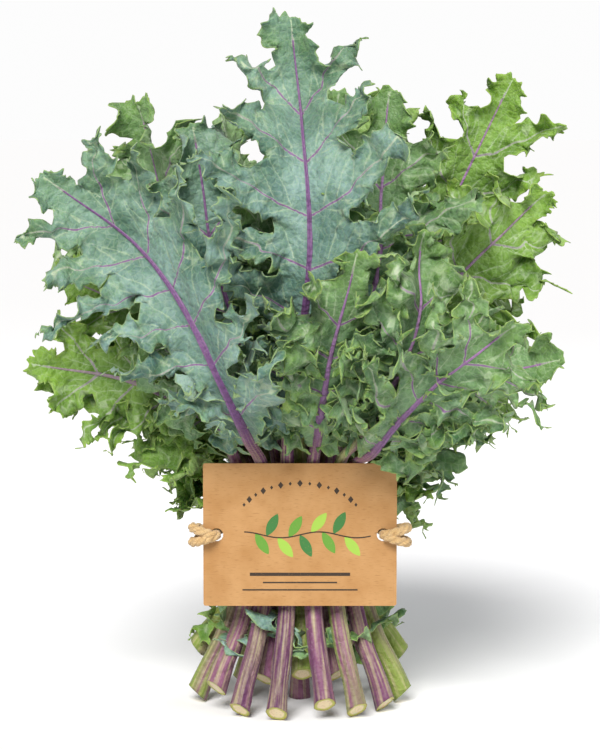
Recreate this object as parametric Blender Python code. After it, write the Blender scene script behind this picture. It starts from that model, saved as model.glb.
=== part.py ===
"""Bunch of curly red kale, standing on its cut stems, tied with jute twine behind a kraft card.

Every leaf is one solid: a stem that runs from its cut end through the tie and becomes the midrib of
a lobed, waved blade. The leaves are laid from the heart of the bunch outwards, and each one is bent
clear of those already laid. Lengths are in millimetres until a mesh is made.
"""

from dataclasses import dataclass

import bmesh
import bpy
import numpy as np
from mathutils import Vector
from mathutils.bvhtree import BVHTree

MM = 0.001

# The sheaf: heights above the table, and how far the stems stand apart there against the tie.
FOOT_SPREAD = 2.15
HIP_HEIGHT, HIP_SPREAD = 60.0, 1.3
TIE_HEIGHT, TIE_SPREAD = 100.0, 1.0
NECK_HEIGHT, NECK_SPREAD = 142.0, 1.3
RING_RADIUS = {"core": 0.0, "inner": 15.0, "outer": 27.0}
FOOT_SWING, HIP_SWING = 5.5, 1.2

# The stem: its rows near the cut, and its thickness there, at the tie, under the blade and at the tip.
STEM_RADIUS = 4.75
CUT_SLANT = 0.55
CUT_ROWS = (0.0, 5.0, 16.0)
CUT_FLARE = (1.42, 1.3, 1.12)
MIDRIB_TAPER = (1.0, 0.8, 0.17)
NECK_LENGTH = 7.0

# The flat blade, as shares of its length and of its longest vein.
ENVELOPE_AT = (0.0, 0.12, 0.25, 0.42, 0.6, 0.8, 0.9, 1.0)
ENVELOPE = (0.22, 0.52, 0.8, 1.0, 0.98, 0.74, 0.53, 0.27)
SINUS_AT = (0.0, 0.25, 0.5, 0.8, 1.0)
SINUS_DEPTH = (0.85, 0.74, 0.6, 0.46, 0.36)
VEIN_TO_WIDTH = 1.2
LOBE_BLUNTNESS = 0.45
LOBE_CROWDING = 0.86
LOBE_JITTER = 0.16
LOBE_UNEVENNESS = 0.12
LAST_VEIN = 0.955
VEIN_SLANT = (18.0, 22.0, 46.0)

# The blade's waves, as shares of its width, its twist in degrees, and its thickness.
WAVE_HEIGHT, LOBE_TILT = 0.105, 0.075
FULL_WAVE_AT = 30.0
TWIST = 26.0
CURL = 0.3
BLADE_THICKNESS = 0.8
LEAST_FACING = 0.4

# How the leaves are kept apart.
CLEARANCE = 1.5
BEND_FROM, BEND_FULL = 110.0, 148.0
LOOK_AHEAD = 260.0
SMOOTHING_ROUNDS = 40
SAMPLE_SPACING = 3.0

CARD_WIDTH, CARD_HEIGHT, CARD_THICKNESS = 104.0, 77.5, 0.8
CARD_BACK_Y = -45.0
CARD_CORNER = 1.2
CARD_ROOM = 5.8
HOLE_RADIUS, HOLE_INSET = 3.6, 7.2

TWINE_RADIUS = 2.7
TWINE_GAP = 3.1
TWINE_TURN_SPACING = 4.6
TWINE_LOOP_X, TWINE_LOOP_Y = 6.9, 5.0
TWINE_LOOP_TILT = 17.0
KNOT_SIZE = (6.5, 4.0, 5.4)
KNOT_OUT = 2.2
TAIL_RADIUS, TAIL_DROP = 2.3, 24.0


@dataclass(frozen=True)
class Leaf:
    """One picked leaf.

    Angles are degrees round the bunch, 0 at the front and positive to the right. facing is the way that
    the blade faces, and tilt how far it faces up. bow bends the leaf away from its straight way.
    """

    name: str
    ring: str
    azimuth: float
    tip: tuple
    bow: tuple
    facing: float
    tilt: float
    blade: float
    width: float
    lobes: int = 4
    fold: float = 0.1
    foot: float = 0.0
    fine: bool = False
    seed: int = 1


# From the heart of the bunch outwards, in the order in which they are laid.
LEAVES = (
    Leaf("leaf_heart", "core", 0, (20, 6, 328), (-4, 6, 0), 6, 0, 170, 46, 3, seed=3),
    Leaf("leaf_top_right", "inner", 120, (112, 4, 336), (8, 4, 14), 24, 0, 176, 48, 5, 0.1, 9, True, 4),
    Leaf("leaf_top_left", "inner", -120, (-86, 8, 322), (-16, 4, 16), -30, 0, 168, 48, 4, 0.1, 7, seed=5),
    Leaf("leaf_right", "inner", 80, (126, -6, 276), (6, 4, 22), 22, 0, 168, 48, 5, 0.1, 16, True, 10),
    Leaf("leaf_left", "inner", -80, (-124, -6, 234), (-4, 4, 22), -26, 0, 144, 44, 4, 0.1, 5, seed=11),
    Leaf("leaf_heart_right", "inner", 40, (46, -14, 332), (4, 2, 6), 14, 0, 172, 44, 4, 0.2, 14, seed=6),
    Leaf("leaf_heart_left", "inner", -40, (-50, -16, 312), (-4, 2, 6), -18, 0, 166, 44, 3, 0.2, 12, seed=7),
    Leaf("leaf_heart_front", "inner", 0, (4, -24, 296), (-6, 2, 4), 0, 0, 140, 42, 3, 0.2, 16, seed=27),
    Leaf("leaf_heart_back_right", "inner", 160, (46, 40, 326), (0, 4, 6), 146, -6, 168, 48, 3, 0.1, 10, seed=8),
    Leaf("leaf_heart_back_left", "inner", -160, (-42, 42, 314), (0, 4, 6), 214, -6, 164, 48, 3, 0.1, 8, seed=9),
    Leaf("leaf_side_back_right", "outer", 124, (108, 46, 256), (4, 4, 18), 104, -20, 156, 46, seed=12),
    Leaf("leaf_side_back_left", "outer", -124, (-106, 48, 264), (-4, 4, 18), 252, -20, 158, 46, seed=13),
    Leaf("leaf_back_right", "outer", 146, (76, 72, 286), (2, 6, 24), 134, -12, 176, 50, 4, 0.1, 6, seed=14),
    Leaf("leaf_back_left", "outer", -146, (-74, 72, 274), (-2, 6, 24), 226, -12, 176, 50, 4, 0.1, 12, seed=15),
    Leaf("leaf_low_right", "outer", 101, (126, 14, 180), (4, 4, 10), 8, 10, 92, 32, 3, 0.1, 18, seed=16),
    Leaf("leaf_low_left", "outer", -101, (-130, 14, 178), (-4, 4, 12), -8, 10, 92, 32, 3, 0.1, 22, seed=17),
    Leaf("leaf_side_right", "outer", 79, (132, -38, 192), (0, -2, 11), 0, 0, 106, 38, seed=18),
    Leaf("leaf_side_left", "outer", -79, (-138, -34, 190), (0, -2, 13), 0, 0, 112, 38, 4, 0.1, 0, True, 19),
    Leaf("leaf_back_middle_right", "outer", 169, (30, 84, 306), (4, 8, 12), 170, -8, 186, 50, seed=20),
    Leaf("leaf_back_middle_left", "outer", -169, (-30, 86, 290), (-4, 8, 12), 190, -8, 182, 50, seed=21),
    Leaf("leaf_front_middle", "outer", -11, (-4, -38, 366), (12, -2, 0), -2, 0, 208, 54, 6, 0.05, 0, True, 22),
    Leaf("leaf_front_low_left", "outer", -56, (-62, -58, 232), (-4, -4, 18), -20, -12, 116, 40, 4, 0.15, 9, seed=28),
    Leaf("leaf_front_low", "outer", 11, (22, -70, 252), (-2, -8, 10), 6, -8, 118, 40, 4, 0.15, 5, seed=23),
    Leaf("leaf_front_low_right", "outer", 34, (58, -74, 262), (2, -6, 6), 16, -12, 124, 40, 4, 0.15, seed=24),
    Leaf("leaf_front_right", "outer", 57, (98, -66, 226), (0, -4, 14), 4, -12, 144, 46, 5, 0.1, 0, True, 25),
    Leaf("leaf_front_left", "outer", -34, (-126, -56, 286), (2, -8, 30), -8, 0, 184, 56, 6, 0.05, 0, True, 26),
)


def unit(vectors):
    """The same directions at length one."""
    return vectors / np.maximum(np.linalg.norm(vectors, axis=-1, keepdims=True), 1e-9)


def around(azimuth):
    """The level direction that points away from the bunch's axis at this angle."""
    angle = np.radians(azimuth)
    return np.array([np.sin(angle), -np.cos(angle), 0.0])


def smoothstep(value, low, high):
    """Rises smoothly from 0 at low to 1 at high."""
    share = np.clip((value - low) / (high - low), 0.0, 1.0)
    return share * share * (3.0 - 2.0 * share)


class Midline:
    """A smooth curve through the points that a stem and its midrib pass, measured along its length."""

    SAMPLES_PER_SPAN = 40

    def __init__(self, points):
        points = np.array(points, float)
        padded = np.vstack([2 * points[0] - points[1], points, 2 * points[-1] - points[-2]])
        spans = []
        for a, b, c, d in zip(padded, padded[1:], padded[2:], padded[3:]):
            t = np.linspace(0.0, 1.0, self.SAMPLES_PER_SPAN, endpoint=False)[:, None]
            # Chord lengths weigh the two end slopes, so a short span beside a long one stays calm.
            before, here, after = (np.linalg.norm(q - p) for p, q in ((a, b), (b, c), (c, d)))
            start = here * ((b - a) / before * here + (c - b) / here * before) / (before + here)
            end = here * ((c - b) / here * after + (d - c) / after * here) / (here + after)
            hermite = (
                (2 * t**3 - 3 * t**2 + 1) * b
                + (t**3 - 2 * t**2 + t) * start
                + (3 * t**2 - 2 * t**3) * c
                + (t**3 - t**2) * end
            )
            spans.append(hermite)
        self.points = np.vstack([*spans, points[-1:]])
        steps = np.linalg.norm(np.diff(self.points, axis=0), axis=1)
        self.along = np.concatenate([[0.0], np.cumsum(steps)])
        self.passed_at = self.along[:: self.SAMPLES_PER_SPAN]
        self.length = self.along[-1]
        self.slopes = unit(np.gradient(self.points, self.along, axis=0))

    def at(self, distance):
        """(position, direction) at each distance. The curve runs on straight past its end."""
        inside = np.clip(distance, 0.0, self.length)
        place = np.stack([np.interp(inside, self.along, self.points[:, k]) for k in range(3)], -1)
        slope = unit(np.stack([np.interp(inside, self.along, self.slopes[:, k]) for k in range(3)], -1))
        return place + slope * (np.asarray(distance) - inside)[..., None], slope


class LeafShape:
    """The surface of one leaf: rows run along the midline, columns from the left margin to the right one."""

    def __init__(self, leaf):
        self.leaf = leaf
        self.random = np.random.default_rng(leaf.seed)
        self.phases = self.random.uniform(0.0, 2.0 * np.pi, 6)
        tilt = np.radians(leaf.tilt)
        self.lean = around(leaf.facing) * np.cos(tilt) + (0.0, 0.0, np.sin(tilt))
        self.midline = Midline(self.route())
        _, self.hip, self.tie, self.neck = self.midline.passed_at[:4]
        self.blade = min(leaf.blade, self.midline.length - self.neck - NECK_LENGTH)
        self.blade_start = self.midline.length - self.blade
        self.edges = {side: self.lobe_edges() for side in (-1, 1)}
        self.twist = np.radians(self.random.uniform(-TWIST, TWIST))
        self.curl = self.random.uniform(-CURL, CURL)

    def lobe_edges(self):
        """Shares of the blade's length at which one side's lobes begin and end."""
        edges = np.linspace(0.0, 1.0, self.leaf.lobes + 2) ** LOBE_CROWDING
        spacing = 1.0 / (self.leaf.lobes + 1)
        edges[1:-1] += self.random.uniform(-LOBE_JITTER, LOBE_JITTER, self.leaf.lobes) * spacing
        return edges

    def route(self):
        """The points that the stem and midrib pass, from the cut end to the tip."""
        leaf = self.leaf
        levels = (
            (leaf.foot, FOOT_SPREAD, FOOT_SWING),
            (HIP_HEIGHT, HIP_SPREAD, HIP_SWING),
            (TIE_HEIGHT, TIE_SPREAD, 0.0),
            (NECK_HEIGHT, NECK_SPREAD, 0.0),
        )
        swing = self.phases[0] / np.pi - 1.0
        points = [
            around(leaf.azimuth + swing * turn) * RING_RADIUS[leaf.ring] * spread + (0.0, 0.0, height)
            for height, spread, turn in levels
        ]
        tip = np.array(leaf.tip, float)
        points.append((points[-1] + tip) / 2.0 + np.array(leaf.bow, float))
        points.append(tip)
        return points

    def radius(self, distance):
        """Half the thickness of the stem, then of the midrib, along the leaf."""
        places = (*CUT_ROWS, self.tie, self.blade_start, self.midline.length)
        return STEM_RADIUS * np.interp(distance, places, (*CUT_FLARE, *MIDRIB_TAPER))

    def lobe_place(self, share, side):
        """(which lobe, how far through it from 0 to 1) at a share of the blade's length."""
        edges = self.edges[side]
        index = np.clip(np.searchsorted(edges, share, side="right") - 1, 0, len(edges) - 2)
        return index, (share - edges[index]) / (edges[index + 1] - edges[index])

    def vein_length(self, share, side):
        """How far the blade reaches from the midrib, along its veins."""
        index, through = self.lobe_place(share, side)
        last = index == self.leaf.lobes
        # The lobe at the tip has only one sinus, so it rises once and stays full.
        rise = np.where(last, np.sin(np.minimum(through * 2.0, 0.5 * np.pi)), np.sin(np.pi * through))
        depth = np.interp(share, SINUS_AT, SINUS_DEPTH)
        size = 1.0 + LOBE_UNEVENNESS * np.sin(index * 2.4 + self.phases[1] + side)
        lobe = 1.0 - depth * (1.0 - np.abs(rise) ** LOBE_BLUNTNESS)
        return self.leaf.width * VEIN_TO_WIDTH * np.interp(share, ENVELOPE_AT, ENVELOPE) * lobe * size

    def wave(self, share, side, out, length):
        """How far a point stands off the flat blade: two waves and a tilt on each lobe."""
        index, through = self.lobe_place(share, side)
        wave = np.sin(4.0 * np.pi * through + 0.4 * np.sin(index + self.phases[2]))
        tilt = np.sin(2.0 * np.pi * through + self.phases[3] + 1.9 * index + side)
        grown = self.leaf.width * np.clip(length / FULL_WAVE_AT, 0.0, 1.0)
        return grown * (WAVE_HEIGHT * wave * out**2 + LOBE_TILT * tilt * out**1.5)

    def rows(self):
        """Where the rows lie: (each side's shares of the blade, distances along the midline)."""
        leaf = self.leaf
        steps = np.array((0.0, 0.125, 0.375, 0.625, 0.875) if leaf.fine else (0.0, 0.17, 0.5, 0.83))
        last = np.array((0.0, 0.2, 0.45, 0.75, 1.0) if leaf.fine else (0.0, 0.3, 0.7, 1.0))
        sides = []
        for side in (-1, 1):
            edges = self.edges[side]
            lobes = [edges[k] + (edges[k + 1] - edges[k]) * steps for k in range(leaf.lobes)]
            lobes.append(edges[-2] + (LAST_VEIN - edges[-2]) * last)
            sides.append(np.concatenate(lobes))
        blade = self.blade_start + self.blade * (sides[0] + sides[1]) / 2.0
        stem = np.array((*CUT_ROWS, self.hip, self.tie, self.neck))
        on_stem = np.full(len(stem), -1.0)
        return [np.concatenate([on_stem, side]) for side in sides], np.concatenate([stem, blade])

    def columns(self):
        """Shares of a vein at which the columns stand, the first at the midrib's edge."""
        return (0.0, 0.48, 1.0) if self.leaf.fine else (0.0, 1.0)

    def surface(self, shares, distances, outs):
        """The middle surface: (points, midline directions, blade directions, how leafy each point is).

        shares holds each side's places on the blade, below 0 on the stem. distances is the midline's
        own. outs holds the columns' shares of a vein, from the midrib out.
        """
        half = len(outs)
        count = 2 * half + 1
        x = np.zeros((len(distances), count))
        y, off, leafiness = np.zeros_like(x), np.zeros_like(x), np.zeros_like(x)
        radius = self.radius(distances)
        round_x = -radius[:, None] * np.cos(np.pi * (np.arange(count) + 0.5) / count)
        base, rise, flare = VEIN_SLANT
        for side, places in ((-1, shares[0]), (1, shares[1])):
            share = np.clip(places, 0.0, 1.0)
            length = np.maximum(self.vein_length(share, side), radius)
            leafy = np.where(places >= 0.0, smoothstep(length - radius, 0.5, 4.0), 0.0)
            angle = np.radians(base + rise * share**0.6 + flare * share**8)
            for k, out in enumerate(outs):
                column = half + side * (k + 1)
                reach = (length - radius) * out
                level = radius + reach * np.cos(angle)
                x[:, column] = side * level * leafy + round_x[:, column] * (1.0 - leafy)
                y[:, column] = leafy * (0.5 * radius + reach * np.sin(angle))
                fold = (self.leaf.fold + self.curl * reach / self.leaf.width) * level
                off[:, column] = leafy * (fold + self.wave(share, side, out, length) * np.cos(angle))
                leafiness[:, column] = leafy
        leafiness[:, half] = np.maximum(leafiness[:, half - 1], leafiness[:, half + 1])
        place, slope = self.midline.at(distances[:, None] + y)
        turn = self.twist * (distances / self.midline.length) ** 2
        sideways = unit(np.cross(self.lean, (0.0, 0.0, 1.0)))
        facing = self.lean * np.cos(turn)[:, None] + sideways * np.sin(turn)[:, None]
        facing = np.repeat(facing[:, None, :], count, axis=1)
        normal = unit(facing - np.sum(slope * facing, axis=-1, keepdims=True) * slope)
        across = np.cross(slope, normal)
        points = place + across * x[..., None] + self.lean * off[..., None]
        return points, slope, normal, leafiness


class Laid:
    """The leaves laid so far, as triangles, and as spots along all their edges."""

    SPOTS_PER_EDGE = 4

    def __init__(self):
        self.corners = np.zeros((0, 3))
        self.triangles = np.zeros((0, 3), int)
        self.spots = np.zeros((0, 3))
        self.tree = None

    def add(self, points, faces):
        """Lays one more leaf."""
        faces = np.array(faces)
        self.triangles = np.vstack([self.triangles, faces + len(self.corners)])
        self.corners = np.vstack([self.corners, points])
        self.tree = BVHTree.FromPolygons(self.corners.tolist(), self.triangles.tolist())
        for k in range(3):
            start, end = points[faces[:, k]], points[faces[:, (k + 1) % 3]]
            for share in np.arange(self.SPOTS_PER_EDGE) / self.SPOTS_PER_EDGE:
                self.spots = np.vstack([self.spots, start + (end - start) * share])


def blade_triangles(rows, columns):
    """The middle surface's triangles, split along the same diagonals as the solid's faces."""
    corner = np.arange(rows * columns).reshape(rows, columns)
    p, q = corner[:-1, :-1].ravel(), corner[:-1, 1:].ravel()
    r, s = corner[1:, 1:].ravel(), corner[1:, :-1].ravel()
    return np.vstack([np.stack([p, q, r], 1), np.stack([p, r, s], 1)])


def needed_bend(shape, points, depth, laid):
    """How far each vertex must move along the leaf's facing to stand clear of the leaves behind it."""
    corners, thick = points.reshape(-1, 3), depth.ravel() + CLEARANCE
    triangles = blade_triangles(*points.shape[:2])
    need = np.zeros(len(corners))
    way = Vector(shape.lean)

    def ask(triangle, spot, reach, distance):
        bend = (reach - distance) * smoothstep(spot[2], BEND_FROM, BEND_FULL)
        need[triangle] = np.maximum(need[triangle], bend)

    # Spots on this leaf, each looking back for a leaf behind it.
    for triangle in triangles[corners[triangles, 2].max(axis=1) > BEND_FROM]:
        a, b, c = corners[triangle]
        reach = LOOK_AHEAD + thick[triangle].max()
        count = int(np.ceil(max(np.linalg.norm(b - a), np.linalg.norm(c - a)) / SAMPLE_SPACING))
        for i in range(count + 1):
            for j in range(count + 1 - i):
                spot = a + (b - a) * i / count + (c - a) * j / count
                distance = laid.tree.ray_cast(Vector(spot) + way * LOOK_AHEAD, -way, reach)[3]
                if distance is not None:
                    ask(triangle, spot, reach, distance)

    # Spots on the laid leaves' edges, each looking out for this leaf.
    own = BVHTree.FromPolygons(corners.tolist(), triangles.tolist())
    side = unit(np.cross(shape.lean, (0.0, 0.0, 1.0)))
    level, own_level = laid.spots @ side, corners @ side
    near = (level > own_level.min()) & (level < own_level.max()) & (laid.spots[:, 2] > BEND_FROM)
    reach = LOOK_AHEAD + thick.max()
    for spot in laid.spots[near]:
        _, _, face, distance = own.ray_cast(Vector(spot) - way * LOOK_AHEAD, way, reach)
        if face is not None:
            ask(triangles[face], spot, reach, distance)

    need = need.reshape(points.shape[:2])
    need[points[..., 2] < BEND_FROM] = 0.0
    return need


def eased(need, heights):
    """A smooth bend that is nowhere less than needed, and nothing below where it starts."""
    bend = need.copy()
    for _ in range(SMOOTHING_ROUNDS):
        padded = np.pad(bend, 1, mode="edge")
        near = padded[:-2, 1:-1] + padded[2:, 1:-1] + padded[1:-1, :-2] + padded[1:-1, 2:]
        bend = np.maximum(need, (0.5 * bend + 0.125 * near) * (heights > BEND_FROM + 2.0))
    return bend


def room_behind_card(shape, points):
    """How far each vertex can move along the leaf's facing before it meets the card, if it would."""
    if shape.lean[1] > -0.3:
        return np.full(points.shape[:2], np.inf)
    low = points[..., 2] < TIE_HEIGHT + CARD_HEIGHT / 2.0 + 5.0
    behind = low & (np.abs(points[..., 0]) < CARD_WIDTH / 2.0 + 3.0)
    room = (points[..., 1] - CARD_BACK_Y - CARD_ROOM) / -shape.lean[1]
    return np.where(behind, np.maximum(room, 0.0), np.inf)


def steepness(points, lean):
    """How much further than across it a waved blade is measured along the direction that it leans."""
    normals = unit(np.cross(np.gradient(points, axis=1), np.gradient(points, axis=0)))
    return 1.0 / np.maximum(np.abs(normals @ lean), LEAST_FACING)


def leaf_rings(shape, laid):
    """The leaf's solid as rings of points, each going across its upper face and back across its lower."""
    shares, distances = shape.rows()
    points, slope, normal, leafiness = shape.surface(shares, distances, shape.columns())
    radius = shape.radius(distances)
    count = points.shape[1]
    half = count // 2
    round_depth = radius[:, None] * np.sin(np.pi * (np.arange(count) + 0.5) / count)
    above = BLADE_THICKNESS / 2.0 * steepness(points, shape.lean)
    below = above.copy()
    # The midrib is nearly flush with the blade's upper face and stands out below it.
    above[:, half] = np.maximum(0.45 * radius, above[:, half])
    below[:, half] = np.maximum(1.5 * radius, below[:, half])
    below[:, half - 1] = np.maximum(0.6 * radius, below[:, half - 1])
    below[:, half + 1] = np.maximum(0.6 * radius, below[:, half + 1])
    above = leafiness * above + (1.0 - leafiness) * round_depth
    below = leafiness * below + (1.0 - leafiness) * round_depth
    if laid.tree is not None:
        bend = eased(needed_bend(shape, points, below, laid), points[..., 2])
        bend = np.minimum(bend, room_behind_card(shape, points))
        points = points + bend[..., None] * shape.lean
    # A blade is thickened along the way it leans, so that no fold of it is thickened into the next.
    way = unit(normal * (1.0 - leafiness[..., None]) + shape.lean * leafiness[..., None])
    upper = points + way * above[..., None]
    lower = points - way * below[..., None]
    return cut_foot(shape, np.concatenate([upper, lower[:, ::-1]], axis=1), slope[0, half])


def cut_foot(shape, rings, slope):
    """Cuts the foot of the stem at its slant, and sets its lowest point at the height it stands at."""
    leaf = shape.leaf
    centre = shape.midline.points[0]
    face = np.array((0.0, 0.0, -1.0))
    if leaf.ring != "core":
        face = unit(around(leaf.azimuth) * CUT_SLANT - slope)
    first = rings[0] - centre
    rings[0] = centre + first - slope * ((first @ face) / (slope @ face))[:, None]
    rings[: len(CUT_ROWS), :, 2] += leaf.foot - rings[0, :, 2].min()
    return rings


def leaf_faces(rows, ring):
    """Triangles of the lofted rings, split alike on the upper and the lower face, with both ends closed."""
    columns = ring // 2
    faces = [(0, k + 1, k) for k in range(1, ring - 1)]
    for i in range(rows - 1):
        for a in range(ring):
            b = (a + 1) % ring
            p, q, r, s = i * ring + a, i * ring + b, (i + 1) * ring + b, (i + 1) * ring + a
            faces += [(p, q, r), (p, r, s)] if a < columns else [(p, q, s), (q, r, s)]
    # At the tip the two halves of each face are joined, left column to right column.
    last = (rows - 1) * ring
    for centre, way in ((last + columns // 2, 1), (last + columns + columns // 2, -1)):
        faces.append((centre - way, centre, centre + way))
        for k in range(2, columns // 2 + 1):
            here, there = centre - way * k, centre + way * k
            faces += [(here, here + way, there), (here + way, there - way, there)]
    faces += [(last, last + columns - 1, last + columns), (last, last + columns, last + ring - 1)]
    return faces


def solid_object(name, points, faces, material):
    """A named object holding one closed mesh, in metres, with its faces pointing out."""
    mesh = bpy.data.meshes.new(name)
    mesh.from_pydata([tuple(p) for p in np.asarray(points) * MM], [], faces)
    work = bmesh.new()
    work.from_mesh(mesh)
    bmesh.ops.recalc_face_normals(work, faces=work.faces)
    if work.calc_volume(signed=True) < 0.0:
        bmesh.ops.reverse_faces(work, faces=work.faces)
    work.to_mesh(mesh)
    work.free()
    mesh.materials.append(material)
    thing = bpy.data.objects.new(name, mesh)
    bpy.context.scene.collection.objects.link(thing)
    return thing


def ringed_object(name, rings, material, closed=False):
    """A solid through rings of points, capped at both ends unless it closes on itself."""
    rows, sides = rings.shape[:2]
    faces = []
    for i in range(rows if closed else rows - 1):
        here, there = i * sides, (i + 1) % rows * sides
        for k in range(sides):
            faces.append((here + k, here + (k + 1) % sides, there + (k + 1) % sides, there + k))
    if not closed:
        faces += [tuple(range(sides)), tuple(range(rows * sides - 1, (rows - 1) * sides - 1, -1))]
    return solid_object(name, rings.reshape(-1, 3), faces, material)


def tube(name, path, up, outline, material, closed=False):
    """A solid swept along a path. up is the direction that the outline's second axis keeps."""
    path, up = np.array(path, float), np.array(up, float)
    slopes = unit(np.gradient(path, axis=0))
    if closed:
        slopes = unit(np.roll(path, -1, axis=0) - np.roll(path, 1, axis=0))
    side = unit(np.cross(slopes, up))
    upright = np.cross(side, slopes)
    rings = path[:, None] + side[:, None] * outline[None, :, :1] + upright[:, None] * outline[None, :, 1:]
    return ringed_object(name, rings, material, closed)


def circle(radius, sides):
    """Corners of a round outline, as (across, up) pairs."""
    turns = 2.0 * np.pi * (np.arange(sides) + 0.5) / sides
    return radius * np.stack([np.cos(turns), np.sin(turns)], axis=1)


def twin_outline():
    """The outline of two twines laid side by side, which press a little into each other."""
    half = TWINE_TURN_SPACING / 2.0
    start = -np.arcsin(half / TWINE_RADIUS)
    turns = np.linspace(start, np.pi - start, 6)[:-1]
    upper = np.stack([TWINE_RADIUS * np.cos(turns), half + TWINE_RADIUS * np.sin(turns)], axis=1)
    return np.vstack([upper, -upper])


def join(body, pieces):
    """Makes one solid of a body and the pieces that run into it."""
    group = bpy.data.collections.new(body.name + "_pieces")
    bpy.context.scene.collection.children.link(group)
    for piece in pieces:
        group.objects.link(piece)
    union = body.modifiers.new("join", "BOOLEAN")
    union.operation = "UNION"
    union.operand_type = "COLLECTION"
    union.collection = group
    bpy.context.view_layer.update()
    evaluated = body.evaluated_get(bpy.context.evaluated_depsgraph_get())
    joined = bpy.data.meshes.new_from_object(evaluated)
    body.modifiers.clear()
    body.data = joined
    for piece in pieces:
        bpy.data.objects.remove(piece)
    bpy.data.collections.remove(group)


def finish(name, colour, roughness):
    """A plain coloured material."""
    material = bpy.data.materials.new(name)
    material.use_nodes = True
    shader = material.node_tree.nodes["Principled BSDF"]
    shader.inputs["Base Color"].default_value = (*colour, 1.0)
    shader.inputs["Roughness"].default_value = roughness
    shader.inputs["Metallic"].default_value = 0.0
    return material


def build_leaves(material):
    """Lays the leaves from the heart outwards."""
    laid = Laid()
    for leaf in LEAVES:
        rings = leaf_rings(LeafShape(leaf), laid)
        faces = leaf_faces(*rings.shape[:2])
        points = rings.reshape(-1, 3)
        laid.add(points, faces)
        solid_object(leaf.name, points, faces, material)


def build_card(material):
    """The label card, upright before the stems, with a hole near each side edge."""
    half_width, half_height = CARD_WIDTH / 2.0 - CARD_CORNER, CARD_HEIGHT / 2.0 - CARD_CORNER
    outline = []
    for across, up, first in ((1, 1, 0), (-1, 1, 90), (-1, -1, 180), (1, -1, 270)):
        for turn in np.radians((first, first + 45, first + 90)):
            x = across * half_width + CARD_CORNER * np.cos(turn)
            z = TIE_HEIGHT + up * half_height + CARD_CORNER * np.sin(turn)
            outline.append((x, z))
    faces_y = (CARD_BACK_Y - CARD_THICKNESS, CARD_BACK_Y)
    rings = np.array([[(x, y, z) for x, z in outline] for y in faces_y])
    card = ringed_object("label_card", rings, material)
    for side, name in ((-1, "left"), (1, "right")):
        middle = np.array((side * (CARD_WIDTH / 2.0 - HOLE_INSET), CARD_BACK_Y, TIE_HEIGHT))
        path = middle + np.array([(0.0, -6.0, 0.0), (0.0, 6.0, 0.0)])
        cutter = tube("hole_cutter_" + name, path, (0.0, 0.0, 1.0), circle(HOLE_RADIUS, 12), material)
        cutter.hide_render = True
        cutter.display_type = "WIRE"
        hole = card.modifiers.new("hole_" + name, "BOOLEAN")
        hole.operation = "DIFFERENCE"
        hole.object = cutter


def back_run():
    """The twine's way from one side of the card round the back of the stems to the other."""
    radius = RING_RADIUS["outer"] + STEM_RADIUS + TWINE_GAP + TWINE_RADIUS
    start = np.array((
        CARD_WIDTH / 2.0 - HOLE_INSET + TWINE_LOOP_X,
        CARD_BACK_Y - CARD_THICKNESS / 2.0 + TWINE_LOOP_Y,
    ))
    leaves_at = np.arctan2(start[1], start[0]) + np.arccos(radius / np.linalg.norm(start))
    turns = np.linspace(leaves_at, np.pi - leaves_at, 13)
    arc = radius * np.stack([np.cos(turns), np.sin(turns)], axis=1)
    end = start * (-1, 1)
    flat = np.vstack([start, (start + arc[0]) / 2.0, arc, (end + arc[-1]) / 2.0, end])
    return np.column_stack([flat, np.full(len(flat), TIE_HEIGHT)]), radius


def card_loops(material):
    """Two rings of twine through each hole of the card and round its side edge."""
    turns = np.linspace(0.0, 2.0 * np.pi, 12, endpoint=False)[:, None]
    loops = []
    for side in (-1, 1):
        across = side * (CARD_WIDTH / 2.0 - HOLE_INSET)
        hole = np.array((across, CARD_BACK_Y - CARD_THICKNESS / 2.0, TIE_HEIGHT))
        for tilt in np.radians((-TWINE_LOOP_TILT, TWINE_LOOP_TILT)):
            out = np.array((side * np.cos(tilt), 0.0, np.sin(tilt)))
            ring = hole + out * TWINE_LOOP_X * (1.0 - np.cos(turns))
            ring = ring + (0.0, TWINE_LOOP_Y, 0.0) * np.sin(turns)
            up = np.cross(out, (0.0, 1.0, 0.0))
            loops.append(tube("loop", ring, up, circle(TWINE_RADIUS, 7), material, closed=True))
    return loops


def back_knot(radius, material):
    """The knot behind the bunch and its two tails."""
    knot = np.array((0.0, radius + KNOT_OUT, TIE_HEIGHT))
    rings = []
    for level in np.radians((-66.0, -24.0, 24.0, 66.0)):
        outline = circle(np.cos(level), 8) * KNOT_SIZE[1:]
        middle = knot + (KNOT_SIZE[0] * np.sin(level), 0.0, 0.0)
        rings.append(middle + np.column_stack([np.zeros(8), outline]))
    pieces = [ringed_object("knot", np.array(rings), material)]
    drop = np.linspace(0.0, 1.0, 5)[:, None]
    for side in (-1, 1):
        tail = knot + (side * 3.0, 1.0, 0.0) + drop * (side * 5.0, 6.0, -TAIL_DROP)
        tail = tail + drop**2 * (side * 3.0, 1.0, 0.0)
        pieces.append(tube("tail", tail, (0.0, 1.0, 0.0), circle(TAIL_RADIUS, 6), material))
    return pieces


def build_twine(material):
    """Two turns of twine round the back of the stems, looped through the card's holes and knotted."""
    run, radius = back_run()
    pieces = card_loops(material) + back_knot(radius, material)
    join(tube("twine", run, (0.0, 0.0, 1.0), twin_outline(), material), pieces)


def main():
    for thing in list(bpy.data.objects):
        bpy.data.objects.remove(thing)
    build_leaves(finish("kale_leaf", (0.10, 0.22, 0.12), 0.55))
    build_card(finish("kraft_card", (0.64, 0.37, 0.14), 0.85))
    build_twine(finish("jute_twine", (0.62, 0.43, 0.22), 0.9))


main()
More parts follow.
